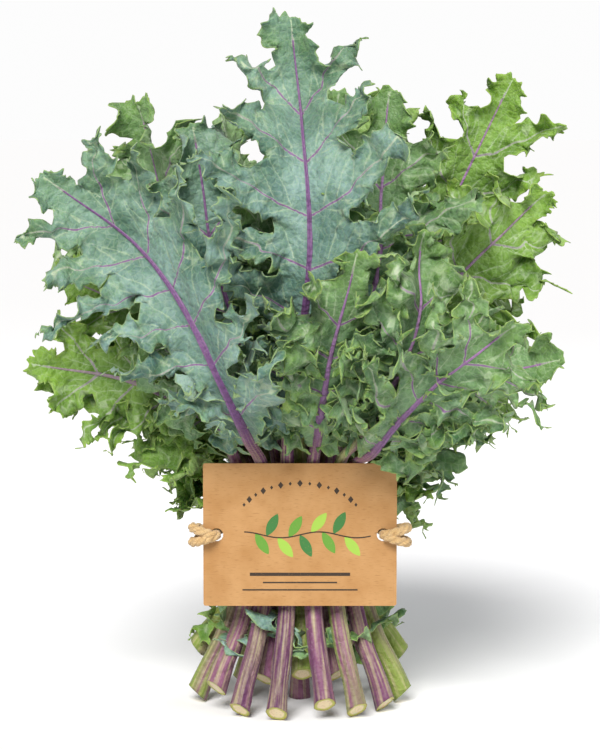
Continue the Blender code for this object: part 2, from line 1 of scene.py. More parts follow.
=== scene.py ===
"""The looks of a bunch of curly red kale that stands on its cut stems behind a kraft card.

Each packed leaf is replaced by a leaf of the same plan: the midline, lobes and facing are worked out
from the same numbers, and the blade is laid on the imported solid, so that it stays where that is. What
is new is the toothed and frilled margin, the veins, and the finishes. Lengths are in millimetres until
a mesh is made.
"""

import logging
import math
from dataclasses import dataclass, field
from enum import Enum
from functools import partial

import bpy
import numpy as np
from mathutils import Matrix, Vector, kdtree
from mathutils.bvhtree import BVHTree
from mathutils.geometry import delaunay_2d_cdt

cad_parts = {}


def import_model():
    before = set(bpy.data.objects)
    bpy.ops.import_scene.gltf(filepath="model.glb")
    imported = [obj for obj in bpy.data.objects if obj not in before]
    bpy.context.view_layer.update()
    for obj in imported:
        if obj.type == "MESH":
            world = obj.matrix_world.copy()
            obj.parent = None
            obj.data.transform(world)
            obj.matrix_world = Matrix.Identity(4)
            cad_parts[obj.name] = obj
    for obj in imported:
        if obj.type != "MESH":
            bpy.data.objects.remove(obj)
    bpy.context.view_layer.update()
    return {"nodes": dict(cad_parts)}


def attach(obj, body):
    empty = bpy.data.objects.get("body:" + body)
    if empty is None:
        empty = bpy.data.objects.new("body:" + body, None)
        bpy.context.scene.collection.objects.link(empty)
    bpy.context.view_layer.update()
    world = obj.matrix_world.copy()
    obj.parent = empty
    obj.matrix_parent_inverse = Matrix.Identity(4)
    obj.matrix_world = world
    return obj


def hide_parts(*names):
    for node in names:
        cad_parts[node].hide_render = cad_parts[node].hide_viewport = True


MM = 0.001
LOG = logging.getLogger("kale")


def unit(vectors: np.ndarray) -> np.ndarray:
    """The same directions at length one."""
    return vectors / np.maximum(np.linalg.norm(vectors, axis=-1, keepdims=True), 1e-9)


def around(azimuth: float) -> np.ndarray:
    """The level direction that points away from the bunch's axis, 0 degrees at the front."""
    angle = math.radians(azimuth)
    return np.array([math.sin(angle), -math.cos(angle), 0.0])


def smoothstep(value: np.ndarray, low: float, high: float) -> np.ndarray:
    """Rises smoothly from 0 at low to 1 at high."""
    share = np.clip((value - low) / (high - low), 0.0, 1.0)
    return share * share * (3.0 - 2.0 * share)


def linear(code: str) -> tuple[float, float, float, float]:
    """A colour for a shader.

    Args:
        code: The sRGB colour as six hex digits.

    Returns:
        The linear red, green, blue and an alpha of 1.
    """
    parts = [int(code[k : k + 2], 16) / 255.0 for k in (0, 2, 4)]
    red, green, blue = (c / 12.92 if c <= 0.04045 else ((c + 0.055) / 1.055) ** 2.4 for c in parts)
    return (red, green, blue, 1.0)


class Ripple:
    """Smooth unevenness over a flat sheet, which comes out the same each time."""

    def __init__(self, seed: int) -> None:
        """Draws a table of random slopes."""
        angles = np.random.default_rng(seed).uniform(0.0, 2.0 * np.pi, (64, 64))
        self.slopes = np.stack([np.cos(angles), np.sin(angles)], -1)

    def at(self, flat: np.ndarray, size: float, layer: int = 0) -> np.ndarray:
        """Reads the unevenness.

        Args:
            flat: Places on the sheet in mm.
            size: The size of its lumps in mm.
            layer: Different layers don't resemble each other.

        Returns:
            A height between about -1 and 1 for each place.
        """
        spot = flat / size + (layer * 7.37 + 31.0, layer * 3.91 + 17.0)
        cell = np.floor(spot).astype(int)
        part = spot - cell
        fade = part**3 * (part * (part * 6.0 - 15.0) + 10.0)
        total = np.zeros(len(flat))
        for i in (0, 1):
            for j in (0, 1):
                slope = self.slopes[(cell[:, 0] + i) % 64, (cell[:, 1] + j) % 64]
                weight = (fade[:, 0] if i else 1.0 - fade[:, 0]) * (fade[:, 1] if j else 1.0 - fade[:, 1])
                total += weight * np.sum(slope * (part - (i, j)), axis=-1)
        return 1.7 * total


class Tone(Enum):
    """How grown and how waxy a leaf is, with how purple its veins start."""

    GLAUCOUS = 0.95
    MIDDLE = 0.7
    YOUNG = 0.4

    @property
    def purple(self) -> float:
        """How purple the veins are at the midrib, from 0 to 1."""
        return self.value


@dataclass(frozen=True)
class LeafPlan:
    """One leaf of the bunch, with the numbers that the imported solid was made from.

    azimuth is its place round the tie, tip where it ends, and bow how its midline bulges. facing and tilt
    say where its upper side points, blade and width how large the blade is, and foot how high its stem is
    cut. frill is how strongly the margin is ruffled, grain how coarse its mesh is, purple how purple its
    stem is, and leaflets_to how far up the blade small leaflets grow, as a share.
    """

    name: str
    ring: str
    azimuth: float
    tip: tuple[float, float, float]
    bow: tuple[float, float, float]
    facing: float
    tilt: float
    blade: float
    width: float
    lobes: int = 4
    foot: float = 0.0
    seed: int = 1
    tone: Tone = Tone.MIDDLE
    frill: float = 1.0
    grain: float = 1.0
    purple: float = 0.8
    leaflets_to: float = 0.3


LEAVES = (
    LeafPlan("leaf_heart", "core", 0, (20, 6, 328), (-4, 6, 0), 6, 0, 170, 46, 3, 0, 3,
             Tone.MIDDLE, 1.2, 1.1, 0.6, 0.4),
    LeafPlan("leaf_top_right", "inner", 120, (112, 4, 336), (8, 4, 14), 24, 0, 176, 48, 5, 9, 4,
             Tone.YOUNG, 1.0, 0.8, 0.3, 0.3),
    LeafPlan("leaf_top_left", "inner", -120, (-86, 8, 322), (-16, 4, 16), -30, 0, 168, 48, 4, 7, 5,
             Tone.MIDDLE, 1.3, 0.9, 0.5, 0.45),
    LeafPlan("leaf_right", "inner", 80, (126, -6, 276), (6, 4, 22), 22, 0, 168, 48, 5, 16, 10,
             Tone.YOUNG, 1.2, 0.8, 0.7, 0.35),
    LeafPlan("leaf_left", "inner", -80, (-124, -6, 234), (-4, 4, 22), -26, 0, 144, 44, 4, 5, 11,
             Tone.YOUNG, 0.85, 1.0, 0.2, 0.4),
    LeafPlan("leaf_heart_right", "inner", 40, (46, -14, 332), (4, 2, 6), 14, 0, 172, 44, 4, 14, 6,
             Tone.MIDDLE, 1.35, 0.9, 0.6, 0.6),
    LeafPlan("leaf_heart_left", "inner", -40, (-50, -16, 312), (-4, 2, 6), -18, 0, 166, 44, 3, 12, 7,
             Tone.GLAUCOUS, 1.6, 0.9, 0.8, 0.5),
    LeafPlan("leaf_heart_front", "inner", 0, (4, -24, 296), (-6, 2, 4), 0, 0, 140, 42, 3, 16, 27,
             Tone.MIDDLE, 1.0, 0.9, 0.15, 0.6),
    LeafPlan("leaf_heart_back_right", "inner", 160, (46, 40, 326), (0, 4, 6), 146, -6, 168, 48, 3, 10, 8,
             Tone.YOUNG, 1.2, 1.1, 0.5, 0.4),
    LeafPlan("leaf_heart_back_left", "inner", -160, (-42, 42, 314), (0, 4, 6), 214, -6, 164, 48, 3, 8, 9,
             Tone.MIDDLE, 1.2, 1.1, 0.7, 0.4),
    LeafPlan("leaf_side_back_right", "outer", 124, (108, 46, 256), (4, 4, 18), 104, -20, 156, 46, 4, 0, 12,
             Tone.YOUNG, 1.2, 1.0, 0.2, 0.4),
    LeafPlan("leaf_side_back_left", "outer", -124, (-106, 48, 264), (-4, 4, 18), 252, -20, 158, 46, 4, 0, 13,
             Tone.MIDDLE, 1.2, 1.0, 0.6, 0.4),
    LeafPlan("leaf_back_right", "outer", 146, (76, 72, 286), (2, 6, 24), 134, -12, 176, 50, 4, 6, 14,
             Tone.MIDDLE, 1.2, 1.0, 0.8, 0.35),
    LeafPlan("leaf_back_left", "outer", -146, (-74, 72, 274), (-2, 6, 24), 226, -12, 176, 50, 4, 12, 15,
             Tone.GLAUCOUS, 1.2, 1.0, 0.9, 0.35),
    LeafPlan("leaf_low_right", "outer", 101, (126, 14, 180), (4, 4, 10), 8, 10, 92, 32, 3, 18, 16,
             Tone.YOUNG, 1.1, 1.0, 0.1, 0.4),
    LeafPlan("leaf_low_left", "outer", -101, (-130, 14, 178), (-4, 4, 12), -8, 10, 92, 32, 3, 22, 17,
             Tone.YOUNG, 0.9, 1.0, 0.15, 0.4),
    LeafPlan("leaf_side_right", "outer", 79, (132, -38, 192), (0, -2, 11), 0, 0, 106, 38, 4, 0, 18,
             Tone.MIDDLE, 1.3, 0.9, 0.15, 0.4),
    LeafPlan("leaf_side_left", "outer", -79, (-138, -34, 190), (0, -2, 13), 0, 0, 112, 38, 4, 0, 19,
             Tone.YOUNG, 0.8, 0.8, 0.35, 0.3),
    LeafPlan("leaf_back_middle_right", "outer", 169, (30, 84, 306), (4, 8, 12), 170, -8, 186, 50, 4, 0, 20,
             Tone.GLAUCOUS, 1.1, 1.0, 0.95, 0.3),
    LeafPlan("leaf_back_middle_left", "outer", -169, (-30, 86, 290), (-4, 8, 12), 190, -8, 182, 50, 4, 0, 21,
             Tone.MIDDLE, 1.2, 1.0, 0.5, 0.3),
    LeafPlan("leaf_front_middle", "outer", -11, (-4, -38, 366), (12, -2, 0), -2, 0, 208, 54, 6, 0, 22,
             Tone.GLAUCOUS, 1.0, 0.72, 0.95, 0.2),
    LeafPlan("leaf_front_low_left", "outer", -56, (-62, -58, 232), (-4, -4, 18), -20, -12, 116, 40, 4, 9, 28,
             Tone.MIDDLE, 1.0, 0.85, 0.55, 0.5),
    LeafPlan("leaf_front_low", "outer", 11, (22, -70, 252), (-2, -8, 10), 6, -8, 118, 40, 4, 5, 23,
             Tone.MIDDLE, 1.6, 0.85, 0.8, 0.6),
    LeafPlan("leaf_front_low_right", "outer", 34, (58, -74, 262), (2, -6, 6), 16, -12, 124, 40, 4, 0, 24,
             Tone.MIDDLE, 1.6, 0.85, 0.35, 0.6),
    LeafPlan("leaf_front_right", "outer", 57, (98, -66, 226), (0, -4, 14), 4, -12, 144, 46, 5, 0, 25,
             Tone.MIDDLE, 1.1, 0.75, 0.85, 0.3),
    LeafPlan("leaf_front_left", "outer", -34, (-126, -56, 286), (2, -8, 30), -8, 0, 184, 56, 6, 0, 26,
             Tone.GLAUCOUS, 0.9, 0.72, 0.95, 0.2),
)


class Midline:
    """A smooth curve through the points that a stem and its midrib pass, measured along its length."""

    samples_per_span = 40

    def __init__(self, points: list[np.ndarray]) -> None:
        """Lays the curve.

        Args:
            points: What it passes, from the cut end to the tip.
        """
        route = np.array(points, float)
        padded = np.vstack([2 * route[0] - route[1], route, 2 * route[-1] - route[-2]])
        spans = []
        for a, b, c, d in zip(padded, padded[1:], padded[2:], padded[3:]):
            t = np.linspace(0.0, 1.0, self.samples_per_span, endpoint=False)[:, None]
            before, here, after = (np.linalg.norm(q - p) for p, q in ((a, b), (b, c), (c, d)))
            start = here * ((b - a) / before * here + (c - b) / here * before) / (before + here)
            end = here * ((c - b) / here * after + (d - c) / after * here) / (here + after)
            spans.append(
                (2 * t**3 - 3 * t**2 + 1) * b
                + (t**3 - 2 * t**2 + t) * start
                + (3 * t**2 - 2 * t**3) * c
                + (t**3 - t**2) * end
            )
        self.points = np.vstack([*spans, route[-1:]])
        steps = np.linalg.norm(np.diff(self.points, axis=0), axis=1)
        self.along = np.concatenate([[0.0], np.cumsum(steps)])
        self.passed_at = self.along[:: self.samples_per_span]
        self.length = float(self.along[-1])
        self.slopes = unit(np.gradient(self.points, self.along, axis=0))

    def at(self, distance: np.ndarray) -> tuple[np.ndarray, np.ndarray]:
        """Finds places on the curve, which runs on straight past its end.

        Args:
            distance: How far along each place is.

        Returns:
            The positions, and the curve's directions there.
        """
        inside = np.clip(distance, 0.0, self.length)
        place = np.stack([np.interp(inside, self.along, self.points[:, k]) for k in range(3)], -1)
        slope = unit(np.stack([np.interp(inside, self.along, self.slopes[:, k]) for k in range(3)], -1))
        return place + slope * (np.asarray(distance) - inside)[..., None], slope


@dataclass(frozen=True)
class Sheaf:
    """How the stems run from the table through the tie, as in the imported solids."""

    foot_spread: float = 2.15
    hip: tuple[float, float] = (60.0, 1.3)
    tie: tuple[float, float] = (100.0, 1.0)
    neck: tuple[float, float] = (142.0, 1.3)
    foot_swing: float = 5.5
    hip_swing: float = 1.2
    stem_radius: float = 4.75
    cut_slant: float = 0.55
    cut_rows: tuple[float, ...] = (0.0, 5.0, 16.0)
    cut_flare: tuple[float, ...] = (1.26, 1.18, 1.06)
    midrib_at: tuple[float, ...] = (0.0, 0.3, 0.65, 1.0)
    midrib_taper: tuple[float, ...] = (0.66, 0.42, 0.2, 0.08)
    neck_length: float = 7.0
    rings: dict[str, float] = field(default_factory=lambda: {"core": 0.0, "inner": 15.0, "outer": 27.0})

    def route(self, plan: LeafPlan, swing: float) -> list[np.ndarray]:
        """Lays out the points that a leaf's stem and midrib pass.

        Args:
            plan: The leaf's own numbers.
            swing: How far round the stem swings below the tie, from -1 to 1.

        Returns:
            The points, from the cut end to the tip.
        """
        levels = (
            (plan.foot, self.foot_spread, self.foot_swing),
            (*self.hip, self.hip_swing),
            (*self.tie, 0.0),
            (*self.neck, 0.0),
        )
        points = [
            around(plan.azimuth + swing * turn) * self.rings[plan.ring] * spread + (0.0, 0.0, height)
            for height, spread, turn in levels
        ]
        tip = np.array(plan.tip, float)
        points.append((points[-1] + tip) / 2.0 + np.array(plan.bow, float))
        points.append(tip)
        return points


@dataclass(frozen=True)
class BladeForm:
    """The plan of a blade, as shares of its length and of its longest vein."""

    envelope_at: tuple[float, ...] = (0.0, 0.12, 0.25, 0.42, 0.6, 0.8, 0.9, 1.0)
    envelope: tuple[float, ...] = (0.22, 0.55, 0.84, 1.04, 1.0, 0.76, 0.46, 0.28)
    sinus_at: tuple[float, ...] = (0.0, 0.25, 0.5, 0.8, 1.0)
    sinus_depth: tuple[float, ...] = (0.88, 0.8, 0.66, 0.5, 0.4)
    vein_to_width: float = 1.2
    lobe_bluntness: float = 0.6
    lobe_crowding: float = 0.86
    lobe_jitter: float = 0.16
    lobe_unevenness: float = 0.12
    last_vein: float = 0.955
    vein_slant: tuple[float, float, float] = (18.0, 22.0, 46.0)
    twist: float = 26.0


@dataclass
class Shape:
    """Part of a mesh, with what the finishes need to know of each of its points.

    tissue holds how strongly a vein, the margin and the purple show, and whether this is a stem. growth
    holds the nearness to the margin, the share of the way to the tip, whether this is the underside, and
    the share of the way out from a stem's middle. grain is where the finishes' fibres are read.
    """

    points: np.ndarray
    faces: list[tuple[int, ...]]
    tissue: np.ndarray
    growth: np.ndarray
    grain: np.ndarray
    cut: list[bool]

    @staticmethod
    def joined(shapes: list["Shape"]) -> "Shape":
        """Puts several shapes in one.

        Args:
            shapes: The shapes, in their order.

        Returns:
            The one shape.
        """
        faces, base = [], 0
        for shape in shapes:
            faces += [tuple(int(v) + base for v in face) for face in shape.faces]
            base += len(shape.points)
        stacked = (np.vstack([getattr(s, key) for s in shapes]) for key in ("points", "tissue", "growth", "grain"))
        points, tissue, growth, grain = stacked
        return Shape(points, faces, tissue, growth, grain, [c for s in shapes for c in s.cut])


@dataclass
class Sheet:
    """A flat mesh of a blade.

    points are its vertices across and along the leaf, faces its triangles, edge the directed edges of its
    margin, vein how strongly a vein runs through each vertex, purple how purple it is, inset how far it
    is from the margin, outward the way to the margin where that is near, and puff how far the blade
    rises between its veins, from 0 to 1.
    """

    points: np.ndarray
    faces: np.ndarray
    edge: np.ndarray
    vein: np.ndarray
    purple: np.ndarray
    inset: np.ndarray
    outward: np.ndarray
    puff: np.ndarray


@dataclass
class Bed:
    """Where a flat sheet lies in the bunch before it is ruffled.

    points are its vertices in space, and across, along and off the sheet's directions there.
    """

    points: np.ndarray
    across: np.ndarray
    along: np.ndarray
    off: np.ndarray


@dataclass
class Blade:
    """How a thin kale blade is cut, ruffled and thickened.

    grain scales the spacing of its mesh, whose loose points are cell apart and whose margin has inner rows:
    for each the first point, the step to the next, and the depth. lobule and tooth have a length and a
    depth, and each ruffle a height, how far in it reaches, its length and its layer. All are in mm.
    """

    seed: int
    grain: float = 1.0
    frill: float = 1.0
    margin_step: float = 0.9
    cell: float = 2.8
    rows: tuple[tuple[int, int, float], ...] = ((0, 2, 1.1), (1, 3, 2.5), (0, 4, 4.2))
    vein_breadth: tuple[float, float] = (1.6, 0.75)
    lobule: tuple[float, float] = (10.0, 4.2)
    tooth: tuple[float, float] = (3.9, 2.2)
    ruffles: tuple[tuple[float, float, float, int], ...] = (
        (7.0, 16.0, 25.0, 2), (10.0, 6.0, 8.0, 3), (6.0, 2.6, 4.2, 4))
    quilting: tuple[float, float] = (2.6, 1.8)
    vein_depth: float = 0.4
    sway: float = 6.0
    curl_band: float = 5.5
    curl_turn: float = 2.0
    thickness: float = 0.5

    def __post_init__(self) -> None:
        """Sets up the blade's own chances."""
        self.draw = np.random.default_rng(self.seed)
        self.ripple = Ripple(self.seed)

    def even(self, outline: np.ndarray, rounds: int = 5) -> np.ndarray:
        """Spaces an open outline's points evenly and rounds its corners.

        Args:
            outline: The outline's points.
            rounds: How often each point moves halfway to its neighbours' middle.

        Returns:
            The new points.
        """
        steps = np.linalg.norm(np.diff(outline, axis=0), axis=1)
        arc = np.concatenate([[0.0], np.cumsum(steps)])
        places = np.arange(0.0, arc[-1], self.margin_step * self.grain)
        outline = np.stack([np.interp(places, arc, outline[:, k]) for k in range(2)], -1)
        for _ in range(rounds):
            outline[1:-1] = 0.5 * outline[1:-1] + 0.25 * (outline[:-2] + outline[2:])
        return outline

    def notches(self, count: int, length: float) -> np.ndarray:
        """A row of uneven teeth with narrow tips and round notches.

        Args:
            count: How many places there are along the outline.
            length: The mean length of a tooth in mm.

        Returns:
            0 at the notches and up to 1 at the tips of the teeth.
        """
        step = self.margin_step * self.grain
        lengths = length * self.draw.uniform(0.55, 1.5, int(count * step / length * 2) + 4)
        knots = np.concatenate([[0.0], np.cumsum(lengths)])
        place = np.arange(count) * step
        index = np.searchsorted(knots, place, side="right") - 1
        through = (place - knots[index]) / lengths[index]
        skew = self.draw.uniform(0.35, 0.7, len(lengths))[index]
        rise = np.where(through < skew, through / skew, (1.0 - through) / (1.0 - skew))
        height = self.draw.uniform(0.45, 1.0, len(lengths))[index]
        return height * (0.65 * (1.0 - np.cos(0.5 * np.pi * rise)) + 0.35 * np.sin(0.5 * np.pi * rise))

    def toothed(self, outline: np.ndarray, room: np.ndarray) -> np.ndarray:
        """Cuts lobules and teeth into a smooth outline.

        Args:
            outline: The smooth outline, with the inside on its left.
            room: How deep the cuts may be at each point, as a share of their full depth.

        Returns:
            The cut outline.
        """
        tangent = unit(np.gradient(outline, axis=0))
        outward = np.stack([tangent[:, 1], -tangent[:, 0]], -1)
        cut = self.lobule[1] * (self.notches(len(outline), self.lobule[0]) - 0.8)
        cut += self.tooth[1] * (self.notches(len(outline), self.tooth[0]) - 0.8)
        return outline + outward * (cut * room)[:, None]

    def sheet(self, outline: np.ndarray, lines: list[tuple[np.ndarray, float, float, float]]) -> Sheet:
        """Meshes a flat blade.

        Args:
            outline: Its margin, with the inside on its left.
            lines: For each vein its flat points, its strength, and how purple its two ends are.

        Returns:
            The flat mesh.
        """
        count = len(outline)
        tree = kdtree.KDTree(count)
        for k, (x, y) in enumerate(outline):
            tree.insert((x, y, 0.0), k)
        tree.balance()

        def margin(points: np.ndarray) -> np.ndarray:
            """How far each flat point is from the margin."""
            return np.array([tree.find((x, y, 0.0))[2] for x, y in points])

        def within(points: np.ndarray) -> np.ndarray:
            """Which flat points are inside the margin."""
            x, y = points[:, 0], points[:, 1]
            inside = np.zeros(len(points), bool)
            for (ax, ay), (bx, by) in zip(outline, np.roll(outline, -1, axis=0)):
                if ay != by:
                    inside ^= ((ay > y) != (by > y)) & (x < (bx - ax) * (y - ay) / (by - ay) + ax)
            return inside

        points, vein, purple = [outline], [np.zeros(count)], [np.zeros(count)]
        edges = [(k, (k + 1) % count) for k in range(count)]
        used = count
        drawn = np.vstack([line for line, _, _, _ in lines])
        clear = np.split(within(drawn) & (margin(drawn) > 1.3), np.cumsum([len(line) for line, _, _, _ in lines]))
        for (line, strength, first, last), keep in zip(lines, clear):
            stop = len(line) if keep.all() else int(np.argmin(keep))
            if stop < 2:
                continue
            points.append(line[:stop])
            vein.append(strength * np.linspace(1.0, 0.8, stop))
            purple.append(np.linspace(first, last, stop))
            edges += [(used + k, used + k + 1) for k in range(stop - 1)]
            used += stop
            if strength == 1.0 and stop > 3:
                steps = np.arange(1.0, stop - 2.0, 0.5)
                fine = np.stack([np.interp(steps, np.arange(stop), line[:stop, k]) for k in range(2)], -1)
                way = unit(np.gradient(fine, axis=0))
                # A row on each side keeps the vein's line narrow, and narrower towards its end.
                breadth = np.linspace(*self.vein_breadth, len(fine))[:, None]
                for side in (-breadth, breadth):
                    row = fine + side * np.stack([-way[:, 1], way[:, 0]], -1)
                    points.append(row)
                    vein.append(np.zeros(len(row)))
                    purple.append(np.linspace(first, last, len(row)))
                    used += len(row)
        veins = np.vstack(points[1:]) if used > count else np.zeros((1, 2)) + 1e4
        tangent = unit(np.roll(outline, -1, axis=0) - np.roll(outline, 1, axis=0))
        inward = np.stack([-tangent[:, 1], tangent[:, 0]], -1)
        rims = [(outline[k::n] + inward[k::n] * deep, deep) for k, n, deep in self.rows]
        rims = np.vstack([rim[margin(rim) > 0.75 * deep] for rim, deep in rims])
        step = self.cell * self.grain
        low, high = outline.min(axis=0), outline.max(axis=0)
        grid_x, grid_y = np.meshgrid(np.arange(low[0], high[0], step), np.arange(low[1], high[1], step * 0.87))
        grid_x = grid_x + (np.arange(grid_x.shape[0])[:, None] % 2) * step / 2.0
        grid = np.stack([grid_x.ravel(), grid_y.ravel()], -1)
        grid = grid + self.draw.uniform(-0.2, 0.2, grid.shape) * step
        grid = grid[margin(grid) > self.rows[-1][2] + 1.0]
        loose = np.vstack([rims, grid])
        loose = loose[within(loose)]
        loose = loose[self.nearest(loose, veins)[0] > 0.7]
        points.append(loose)
        vein.append(np.zeros(len(loose)))
        purple.append(np.zeros(len(loose)))
        made, _, triangles, origin, _, _ = delaunay_2d_cdt(
            [Vector(p) for p in np.vstack(points)], edges, [list(range(count))], 1, 1e-4
        )
        flat = np.array([tuple(p) for p in made])
        source = np.array([o[0] if o else 0 for o in origin])
        kept, faces = np.unique(np.array([t for t in triangles if len(t) == 3]), return_inverse=True)
        faces = faces.reshape(-1, 3)
        flat, source = flat[kept], source[kept]
        both = np.vstack([faces[:, [0, 1]], faces[:, [1, 2]], faces[:, [2, 0]]])
        _, first, times = np.unique(np.sort(both, axis=1), axis=0, return_index=True, return_counts=True)
        edge = both[first[times == 1]]
        inset, outward = self.nearest(flat, outline, -inward)
        puff = 1.0 - np.exp(-((self.nearest(flat, veins)[0] / 2.8) ** 2))
        return Sheet(flat, faces, edge, np.concatenate(vein)[source], np.concatenate(purple)[source],
                     inset, outward, puff)

    @staticmethod
    def nearest(
        points: np.ndarray, others: np.ndarray, ways: np.ndarray | None = None
    ) -> tuple[np.ndarray, np.ndarray | None]:
        """Looks from flat points to others.

        Args:
            points: Where to look from.
            others: What to look for.
            ways: A direction for each of the others.

        Returns:
            The distance to the nearest other, and the mean direction of those that are about as near.
        """
        distances, means = [], []
        for start in range(0, len(points), 800):
            part = points[start : start + 800]
            gap = np.sqrt(np.sum((part[:, None] - others[None]) ** 2, axis=-1))
            least = gap.min(axis=1)
            distances.append(least)
            if ways is not None:
                weight = np.exp(-(gap - least[:, None]) / 1.6)
                means.append(weight @ ways / weight.sum(axis=1, keepdims=True))
        return np.concatenate(distances), np.vstack(means) if means else None

    def ruffled(self, sheet: Sheet, bed: Bed, free: np.ndarray) -> np.ndarray:
        """Curls and ruffles a sheet's margin and puffs it up between its veins.

        Args:
            sheet: The flat blade.
            bed: Where it lies.
            free: How far each vertex may leave the bed, as a share.

        Returns:
            The blade's middle surface.
        """
        flat, ripple = sheet.points, self.ripple
        free = free * self.frill
        # The margin rolls up or under in stretches of a centimetre or two.
        turn = np.clip(1.8 * ripple.at(flat, 14.0, 1) + 0.2, -1.0, 1.0) * self.curl_turn * free
        bend = np.where(np.abs(turn) < 0.02, 0.02, turn) / self.curl_band
        reach = np.clip(self.curl_band - sheet.inset, 0.0, None)
        drawn_in = reach - np.sin(bend * reach) / bend
        raised = (1.0 - np.cos(bend * reach)) / bend
        raised = raised + free * sum(
            height * np.exp(-sheet.inset / inward) * ripple.at(flat, length, layer)
            for height, inward, length, layer in self.ruffles
        )
        near = np.exp(-sheet.inset / self.ruffles[1][1])
        quilted = self.quilting[0] * sheet.puff + self.quilting[1] * ripple.at(flat, 7.0, 5)
        raised += np.minimum(free, 1.0) * quilted * (1.0 - 0.6 * near)
        raised -= self.vein_depth * sheet.vein * (1.0 - near)
        sway = self.sway * near * free
        across = -sheet.outward[:, 0] * drawn_in + sway * ripple.at(flat, 9.0, 6)
        along = -sheet.outward[:, 1] * drawn_in + sway * ripple.at(flat, 9.0, 7)
        moved = bed.across * across[:, None] + bed.along * along[:, None] + bed.off * raised[:, None]
        pairs = np.vstack([sheet.faces[:, [0, 1]], sheet.faces[:, [1, 2]], sheet.faces[:, [2, 0]]])
        pairs = np.vstack([pairs, pairs[:, ::-1]])
        times = np.bincount(pairs[:, 0], minlength=len(flat))[:, None]
        around_it = np.stack([np.bincount(pairs[:, 0], moved[pairs[:, 1], k], len(flat)) for k in range(3)], -1)
        return bed.points + (0.5 * moved + 0.5 * around_it / times)

    def thick(self, sheet: Sheet, middle: np.ndarray, facing: np.ndarray, along: np.ndarray) -> Shape:
        """Closes a blade's middle surface into a thin solid sheet.

        Args:
            sheet: The flat blade.
            middle: Its middle surface.
            facing: A direction on its upper side.
            along: The share of the way to the tip of each vertex.

        Returns:
            The closed blade.
        """
        faces, edge = sheet.faces, sheet.edge
        corners = [middle[faces[:, k]] for k in range(3)]
        weighted = np.cross(corners[1] - corners[0], corners[2] - corners[0])
        normals = np.stack([
            sum(np.bincount(faces[:, k], weighted[:, axis], len(middle)) for k in range(3)) for axis in range(3)
        ], -1)
        normals = unit(normals)
        if np.median(normals @ facing) < 0.0:
            faces, edge, normals = faces[:, ::-1], edge[:, ::-1], -normals
        count, half = len(middle), self.thickness / 2.0
        points = np.vstack([middle + normals * half, middle - normals * half])
        solid = [tuple(t) for t in faces] + [(a + count, c + count, b + count) for a, b, c in faces]
        solid += [(b, a, a + count, b + count) for a, b in edge]
        rim, zero = np.zeros(count), np.zeros(count)
        rim[np.unique(edge)] = 1.0
        tissue = np.stack([sheet.vein, rim, sheet.purple, zero], -1)
        growth = np.stack([np.exp(-sheet.inset / 9.0), along, zero, zero], -1)
        under = growth + (0.0, 0.0, 1.0, 0.0)
        return Shape(points, solid, np.vstack([tissue] * 2), np.vstack([growth, under]), points.copy(),
                     [False] * len(solid))


@dataclass
class Leaflet:
    """A small lobed leaflet that grows from a stem or a midrib.

    root is where it starts, way its direction there, off the side it faces, bend how far it curves
    back over its length in radians, and purple how purple its rib is.
    """

    root: np.ndarray
    way: np.ndarray
    off: np.ndarray
    length: float
    width: float
    bend: float
    seed: int
    purple: float = 0.3

    def outline(self) -> np.ndarray:
        """Draws the leaflet's smooth outline.

        Returns:
            The points, from the right of its foot round the tip to the left.
        """
        lobes = 2.0 if self.length < 24.0 else 3.0
        t = np.linspace(0.0, 1.0, 160)
        stalk = smoothstep(t, 0.12, 0.34)
        form = np.interp(t, (0.0, 0.3, 0.6, 0.85, 1.0), (0.6, 0.85, 1.0, 0.7, 0.16))
        sides = []
        for side in (1, -1):
            wave = np.abs(np.sin(np.pi * (lobes * t**0.9 + 0.15 * side))) ** 0.7
            reach = 0.9 + self.width * stalk * form * (0.42 + 0.58 * wave)
            sides.append(np.stack([side * reach * 0.84, self.length * t + 0.5 * reach], -1))
        return np.vstack([sides[0], sides[1][::-1]])

    def build(self) -> Shape:
        """Makes the leaflet: cuts it out, bends it back over its length, and ruffles it.

        Returns:
            The closed leaflet.
        """
        blade = Blade(self.seed, 1.1, 1.0, lobule=(7.0, 3.0), tooth=(3.4, 2.0), curl_band=3.6, curl_turn=1.6,
                      thickness=0.45)
        outline = blade.even(self.outline(), 3)
        outline = blade.toothed(outline, np.clip((np.abs(outline[:, 0]) - 1.0) / 5.0, 0.0, 1.0))
        rib = np.stack([np.zeros(12), np.linspace(0.6, self.length * 0.92, 12)], -1)
        lines = [(rib, 1.0, self.purple, 0.0)]
        for k, at in enumerate((3, 5, 7)):
            for side in (-1, 1):
                reach = np.arange(1.6, self.width * 0.75, 1.9)[:, None]
                lines.append((rib[at] + reach * (side * 0.8, 0.6), 0.6, 0.1, 0.0))
        sheet = blade.sheet(outline, lines)
        across = unit(np.cross(self.way, self.off))
        angle = (self.bend * sheet.points[:, 1] / self.length)[:, None]
        scale = self.length / self.bend
        place = self.root + scale * (np.sin(angle) * self.way - (1.0 - np.cos(angle)) * self.off)
        along = np.cos(angle) * self.way - np.sin(angle) * self.off
        off = np.cos(angle) * self.off + np.sin(angle) * self.way
        bed = Bed(place + across * sheet.points[:, :1], np.broadcast_to(across, place.shape), along, off)
        fold = 0.35 * np.abs(sheet.points[:, :1])
        bed.points = bed.points + off * fold
        free = smoothstep(sheet.points[:, 1], 0.1 * self.length, 0.5 * self.length) * 0.9
        middle = blade.ruffled(sheet, bed, free)
        shape = blade.thick(sheet, middle, off.mean(axis=0), np.full(len(middle), 0.5))
        shape.growth[:, 0] = np.maximum(shape.growth[:, 0], 0.4)
        return shape


